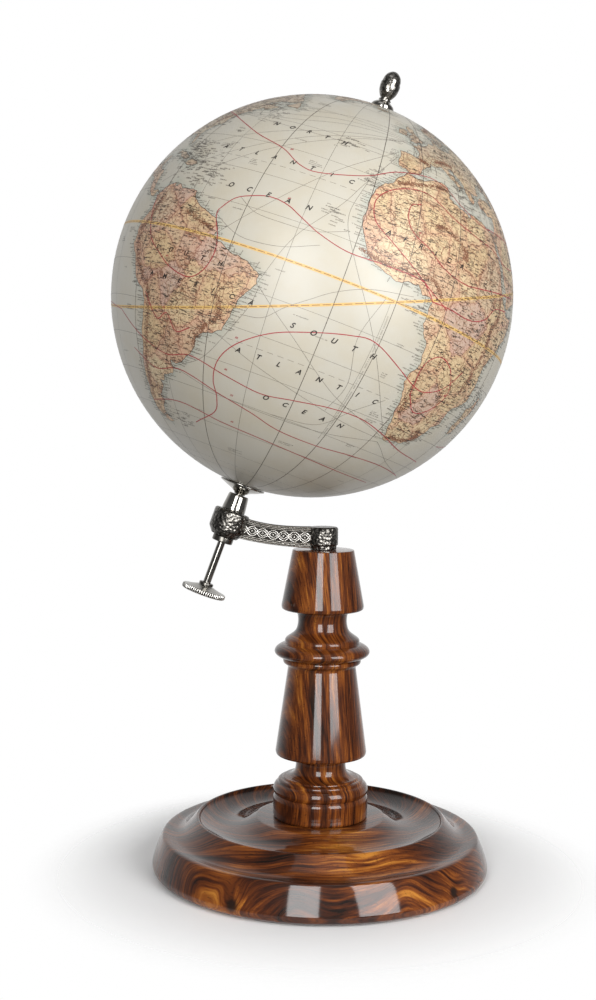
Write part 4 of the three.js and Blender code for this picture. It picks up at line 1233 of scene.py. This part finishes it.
def label(sheet, lon, lat, text, height):
    east, north = east_north(lon, lat)
    for k, letter in enumerate(text):
        points, faces = glyph(letter)
        base = unit(lon, lat) + east * (k - len(text) / 2) * height * 0.75 / BALL_R
        flat = [base + east * x * height / BALL_R + north * y * height / BALL_R for x, y in points]
        sheet.shape(flat, faces)


GLYPHS = {}


def glyph(letter):
    """Outline of a sloping capital or digit, one unit high, as points and faces."""
    if letter not in GLYPHS:
        curve = bpy.data.curves.new("glyph", "FONT")
        curve.body = letter
        curve.size = 1.42
        curve.shear = 0.32
        curve.offset = 0.036
        curve.align_x = "CENTER"
        curve.resolution_u = 3
        holder = bpy.data.objects.new("glyph", curve)
        bpy.context.scene.collection.objects.link(holder)
        mesh = bpy.data.meshes.new_from_object(holder)
        points = [(v.co.x, v.co.y) for v in mesh.vertices]
        GLYPHS[letter] = (points, [tuple(f.vertices) for f in mesh.polygons])
        bpy.data.objects.remove(holder)
        bpy.data.curves.remove(curve)
        bpy.data.meshes.remove(mesh)
    return GLYPHS[letter]


def add_words(sheet):
    for word, west, east, lat, height in WORDS:
        for k, letter in enumerate(word):
            lon = west + (east - west) * k / (len(word) - 1)
            label(sheet, lon, lat - 0.7, letter, height)


def small_names(sheet, starts, headings, seed, letters=(4, 10), tall=0.8, gap=0.6):
    """Names too small to read: a row of letter-like strokes from each unit direction."""
    if not len(starts):
        return
    rng = np.random.default_rng(seed)
    starts = np.asarray(starts)
    headings = np.asarray(headings)
    counts = rng.integers(letters[0], letters[1] + 1, len(starts))
    row = np.repeat(np.arange(len(starts)), counts)
    step = np.concatenate([np.arange(c) for c in counts])
    kept = rng.random(len(row)) > 0.09
    row = row[kept]
    step = step[kept]
    along = headings[row]
    up = np.cross(starts[row], along)
    centre = starts[row] + along * (step * gap / BALL_R)[:, None]
    lean = up * (tall / 2 / BALL_R * rng.uniform(0.7, 1.15, len(row)))[:, None] + along * 0.12 / BALL_R
    wide = along * (rng.uniform(0.22, 0.42, len(row)) / 2 / BALL_R)[:, None]
    sheet.quads(np.stack([centre - lean - wide, centre - lean + wide, centre + lean + wide,
                          centre + lean - wide], 1))


def add_coasts(dark, fine):
    """Shore lines, with the names of harbours set along the parallels over the sea."""
    rng = random.Random(11)
    starts = []
    headings = []
    for loop in OUTLINES.values():
        closed = np.array(loop + loop[:1])
        directions = unit(closed[:, 0], closed[:, 1])
        dark.ribbon(directions, 0.36)
        turn = sum(a[0] * b[1] - b[0] * a[1] for a, b in zip(closed, closed[1:]))
        outward = 1.0 if turn > 0 else -1.0
        gap = rng.uniform(0.5, 1.5)
        for a, b in zip(directions, directions[1:]):
            step = b - a
            length = float(np.linalg.norm(step)) * BALL_R
            if length < 1e-6:
                continue
            heading = step / np.linalg.norm(step)
            away = outward * np.cross(heading, a)
            east = np.cross(POLE, a)
            east = east / np.linalg.norm(east)
            north = np.cross(a, east)
            while gap < length:
                foot = a + step * gap / length + away * 0.9 / BALL_R
                seaward = float(away @ east)
                gap += rng.uniform(1.4, 3.4)
                if abs(seaward) > 0.42:
                    slant = math.copysign(1.0, seaward) * east + north * rng.gauss(0, 0.06)
                elif rng.random() < 0.35:
                    slant = away
                else:
                    continue
                starts.append(foot)
                headings.append(slant / np.linalg.norm(slant))
            gap -= length
    small_names(fine, starts, headings, 12, (5, 14), 0.85, 0.6)


def random_land(rng, count):
    spots = []
    while len(spots) < count:
        lat = np.degrees(np.arcsin([rng.uniform(-0.95, 0.98) for _ in range(4000)]))
        lon = np.array([rng.uniform(-180, 180) for _ in range(4000)])
        keep = inside_land(lon, lat)
        spots += list(zip(lon[keep], lat[keep]))
    return spots[:count]


def add_land_detail(dark, brown):
    rng = random.Random(23)
    towns = np.array(random_land(rng, 7500))
    east, north = east_north(towns[:, 0], towns[:, 1])
    east += north * np.array([[rng.gauss(0, 0.10)] for _ in towns])
    small_names(dark, unit(towns[:, 0], towns[:, 1]), east, 24, (3, 9), 0.72, 0.56)
    for lon, lat in random_land(rng, 3200):
        heading = rng.uniform(0, 2 * math.pi)
        path = [(lon, lat)]
        for _ in range(rng.randint(5, 14)):
            heading += rng.gauss(0, 0.5)
            lon += 0.42 * math.cos(heading) / math.cos(math.radians(lat))
            lat += 0.42 * math.sin(heading)
            path.append((lon, lat))
        keep = inside_land([p[0] for p in path], [p[1] for p in path])
        brown.line([p for p, ok in zip(path, keep) if ok] or path[:1], rng.uniform(0.18, 0.34))
    for points in RANGES:
        ridge = smooth(points, 26)
        for lon, lat in ridge:
            centre = unit(lon, lat)
            east, north = east_north(lon, lat)
            for _ in range(5):
                off = east * rng.gauss(0, 1.5) / BALL_R + north * rng.gauss(0, 1.0) / BALL_R
                angle = rng.uniform(0, 2 * math.pi)
                reach = (east * math.cos(angle) + north * math.sin(angle)) * rng.uniform(0.4,
                                                                                         1.1) / BALL_R
                brown.ribbon(np.array([centre + off - reach, centre + off, centre + off + reach]), 0.28)


CLUSTERS = [(-62, 15.5, 5, 60), (-70, 20, 7, 110), (-76, 24, 5, 60), (-24, 15.5, 2.5, 20),
            (-17, 29, 3, 26), (-27, 38.5, 3, 22), (-65, 32, 1.5, 6), (-15, 32.6, 1.5, 8),
            (5, 1, 3, 20), (-60, 44, 6, 40), (20, 37, 10, 120), (-58, -52, 4, 26), (12, 56, 10, 90),
            (46, -12, 4, 20), (150, -8, 10, 90), (125, 8, 7, 80), (-150, -17, 8, 60), (172, 5, 12, 70)]


def add_sea_detail(fine):
    """Island groups, remarks over the open sea, and the lettered meridian."""
    rng = random.Random(31)
    for lon, lat, spread, count in CLUSTERS:
        spots = np.array([(rng.gauss(lon, spread / 1.6),
                           rng.gauss(lat, spread / 2.2)) for _ in range(count)])
        east, north = east_north(spots[:, 0], spots[:, 1])
        small_names(fine, unit(spots[:, 0], spots[:, 1]), east, rng.randrange(10 ** 6), (4, 11), 0.85,
                    0.6)
    for _ in range(150):
        lon = rng.uniform(-180, 180)
        lat = math.degrees(math.asin(rng.uniform(-0.85, 0.85)))
        if inside_land([lon], [lat])[0]:
            continue
        east, north = east_north(lon, lat)
        rows = range(rng.choice((1, 1, 2, 3)))
        starts = [unit(lon, lat) - north * row * 1.5 / BALL_R for row in rows]
        small_names(fine, starts, [east for _ in rows], rng.randrange(10 ** 6), (6, 16), 0.8, 0.7)
    for lat in np.arange(-40.0, -4.0, 0.28):
        if rng.random() < 0.22:
            continue
        centre = unit(-0.75, lat)
        east, north = east_north(-0.75, lat)
        wide = east * 0.55 / BALL_R
        tall = north * 0.12 / BALL_R
        fine.shape([centre - wide - tall, centre + wide - tall, centre + wide + tall,
                    centre - wide + tall],
                   [(0, 1, 2, 3)])
    lat = np.arange(-42.0, 0.0, 1.0)
    fine.ribbon(unit(np.full(lat.shape, -1.4), lat), 0.22)


def add_map():
    paper = map_paper()
    for index in range(GORE_COUNT):
        add_gore(index, paper)
    gold = Print("print_gold", ink("ink_gold", (0.600, 0.390, 0.130)), BALL_R - 0.10)
    fine = Print("print_grey", ink("ink_grey", (0.135, 0.120, 0.100)), BALL_R - 0.08)
    brown = Print("print_brown", ink("ink_brown", (0.200, 0.085, 0.045)), BALL_R - 0.065)
    red = Print("print_red", ink("ink_red", (0.330, 0.030, 0.040)), BALL_R - 0.05)
    dark = Print("print_black", ink("ink_black", (0.055, 0.042, 0.032)), BALL_R - 0.03)
    words = Print("print_words", ink("ink_words", (0.022, 0.017, 0.014)), BALL_R - 0.01)
    bold = Print("print_meridians", ink("ink_meridians", (0.095, 0.080, 0.062)), BALL_R - 0.07)
    add_graticule(fine, bold)
    great_band(gold, brown, equator)
    great_band(gold, brown, ecliptic)
    for points in ROUTES:
        curve_line(fine, points, 0.26)
    add_isotherms(red)
    add_coasts(dark, fine)
    add_land_detail(dark, brown)
    add_sea_detail(fine)
    add_words(words)
    for sheet in (gold, fine, brown, red, dark, words, bold):
        sheet.finish()


# ------------------------------------------------------------------ stage and light
def add_stage():
    """A small pale floor that fades out into the white surroundings."""
    n = Nodes("stage")
    reach = n.vector("LENGTH", n.place())
    n.set(Base_Color=(0.90, 0.90, 0.90, 1.0), Roughness=0.7, Specular_IOR_Level=0.2)
    n.set(Alpha=n.span(reach, 0.145, 0.24, 1.0, 0.0))
    radius = 0.5
    count = 96
    ring = [(radius * math.cos(2 * math.pi * k / count), radius * math.sin(2 * math.pi * k / count), 0)
            for k in range(count)]
    mesh = bpy.data.meshes.new("floor")
    mesh.from_pydata(ring, [], [tuple(range(count))])
    mesh.materials.append(n.material)
    floor = bpy.data.objects.new("floor", mesh)
    bpy.context.scene.collection.objects.link(floor)


def softbox(name, angle, distance, height, size, power, aim=(0, 0, 0.3)):
    """A rectangular light at an angle round the object, in degrees from the camera's side."""
    data = bpy.data.lights.new(name, "AREA")
    data.shape = "RECTANGLE"
    data.size, data.size_y = size
    data.energy = power
    light = bpy.data.objects.new(name, data)
    bpy.context.scene.collection.objects.link(light)
    around = math.radians(CAMERA_BEARING + angle)
    place = Vector((distance * math.cos(around), distance * math.sin(around), height))
    direction = (Vector(aim) - place).normalized()
    light.matrix_world = Matrix.Translation(place) @ direction.to_track_quat("-Z",
                                                                             "Y").to_matrix().to_4x4()


WORLD_FRONT = 0.11      # surroundings on the camera's side
WORLD_BACKDROP = 0.85   # the pale backdrop behind the object, which also lights its back


def add_light():
    """Two tall softboxes on the camera's side, a weak one overhead and a pale backdrop."""
    softbox("left_softbox", -11, 1.5, 0.62, (0.54, 1.12), 18)
    softbox("right_softbox", 37, 1.4, 0.64, (0.70, 1.12), 20)
    softbox("overhead", 0, 0.6, 1.8, (1.0, 1.0), 2)
    world = bpy.data.worlds.new("world")
    bpy.context.scene.world = world
    world.use_nodes = True
    tree = world.node_tree
    seen = tree.nodes.new("ShaderNodeLightPath").outputs["Is Camera Ray"]
    towards = tree.nodes.new("ShaderNodeSeparateXYZ")
    tree.links.new(tree.nodes.new("ShaderNodeTexCoord").outputs["Generated"], towards.inputs["Vector"])
    backdrop = tree.nodes.new("ShaderNodeMapRange")
    tree.links.new(towards.outputs["Y"], backdrop.inputs["Value"])
    backdrop.inputs["From Min"].default_value = 0.10
    backdrop.inputs["From Max"].default_value = 0.90
    backdrop.inputs["To Min"].default_value = WORLD_FRONT
    backdrop.inputs["To Max"].default_value = WORLD_BACKDROP
    level = tree.nodes.new("ShaderNodeMapRange")
    tree.links.new(seen, level.inputs["Value"])
    tree.links.new(backdrop.outputs["Result"], level.inputs["To Min"])
    level.inputs["To Max"].default_value = 1.0
    background = tree.nodes["Background"]
    background.inputs["Color"].default_value = (1.0, 1.0, 1.0, 1.0)
    tree.links.new(level.outputs["Result"], background.inputs["Strength"])
    bpy.context.scene.view_settings.view_transform = "Standard"


# ------------------------------------------------------------------ CAD parts that stay
def dress(node, material):
    piece = frame["nodes"][node]
    piece.data.materials.clear()
    piece.data.materials.append(material)


def main():
    add_camera()
    add_stage()
    add_light()
    column_wood = wood("sheesham_column", (0.16, 0.05, 0), (0.015, 0.03, 0.999), (6.0, 0.006))
    # The base's painted sheen spots lighten its front rim and dish in the colour, not by the lamps
    base_wood = wood("sheesham_base", (-0.01, 0.07, 0.0), (0.30, -0.10, 0.949), (8.0, 0.042),
                     knots=[((-0.079, -0.108, 0.010), 0.007), ((0.087, -0.101, 0.012), 0.006)],
                     painted_sheen=[((-0.088, -0.100, 0.012), 0.042, 0.26), ((0.010, -0.075, 0.036), 0.060, 0.30),
                            ((0.090, -0.100, 0.012), 0.030, 0.12)], lift=-0.09)
    nickel = polished_nickel()
    cast = relief_nickel()
    hammered = hammered_nickel()
    dark_nickel = plain_metal("dark_nickel", (0.22, 0.21, 0.19), 0.25)
    steel = plain_metal("steel", (0.5, 0.5, 0.5), 0.35)
    add_base(base_wood)
    add_column(column_wood)
    add_arm(cast, hammered)
    add_sleeve(nickel)
    add_spindle(nickel, dark_nickel, knurled_nickel(), antique_nickel())
    add_ball_fittings(nickel)
    for node in ("tie_rod", "base_washer", "base_nut"):
        dress(node, steel)
    dress("boss_bush", plain_metal("brass", (0.62, 0.42, 0.18), 0.3))
    dress("felt_pad", felt())
    shell = moulded("ball_shell", (0.72, 0.69, 0.60), (0.60, 0.57, 0.48))
    for node in ("hemisphere_north", "hemisphere_south", "equator_ring"):
        dress(node, shell)
    beech = moulded("beech", (0.58, 0.38, 0.20), (0.45, 0.27, 0.13))
    for node in ("north_bushing", "south_bushing"):
        dress(node, beech)
    add_map()


main()
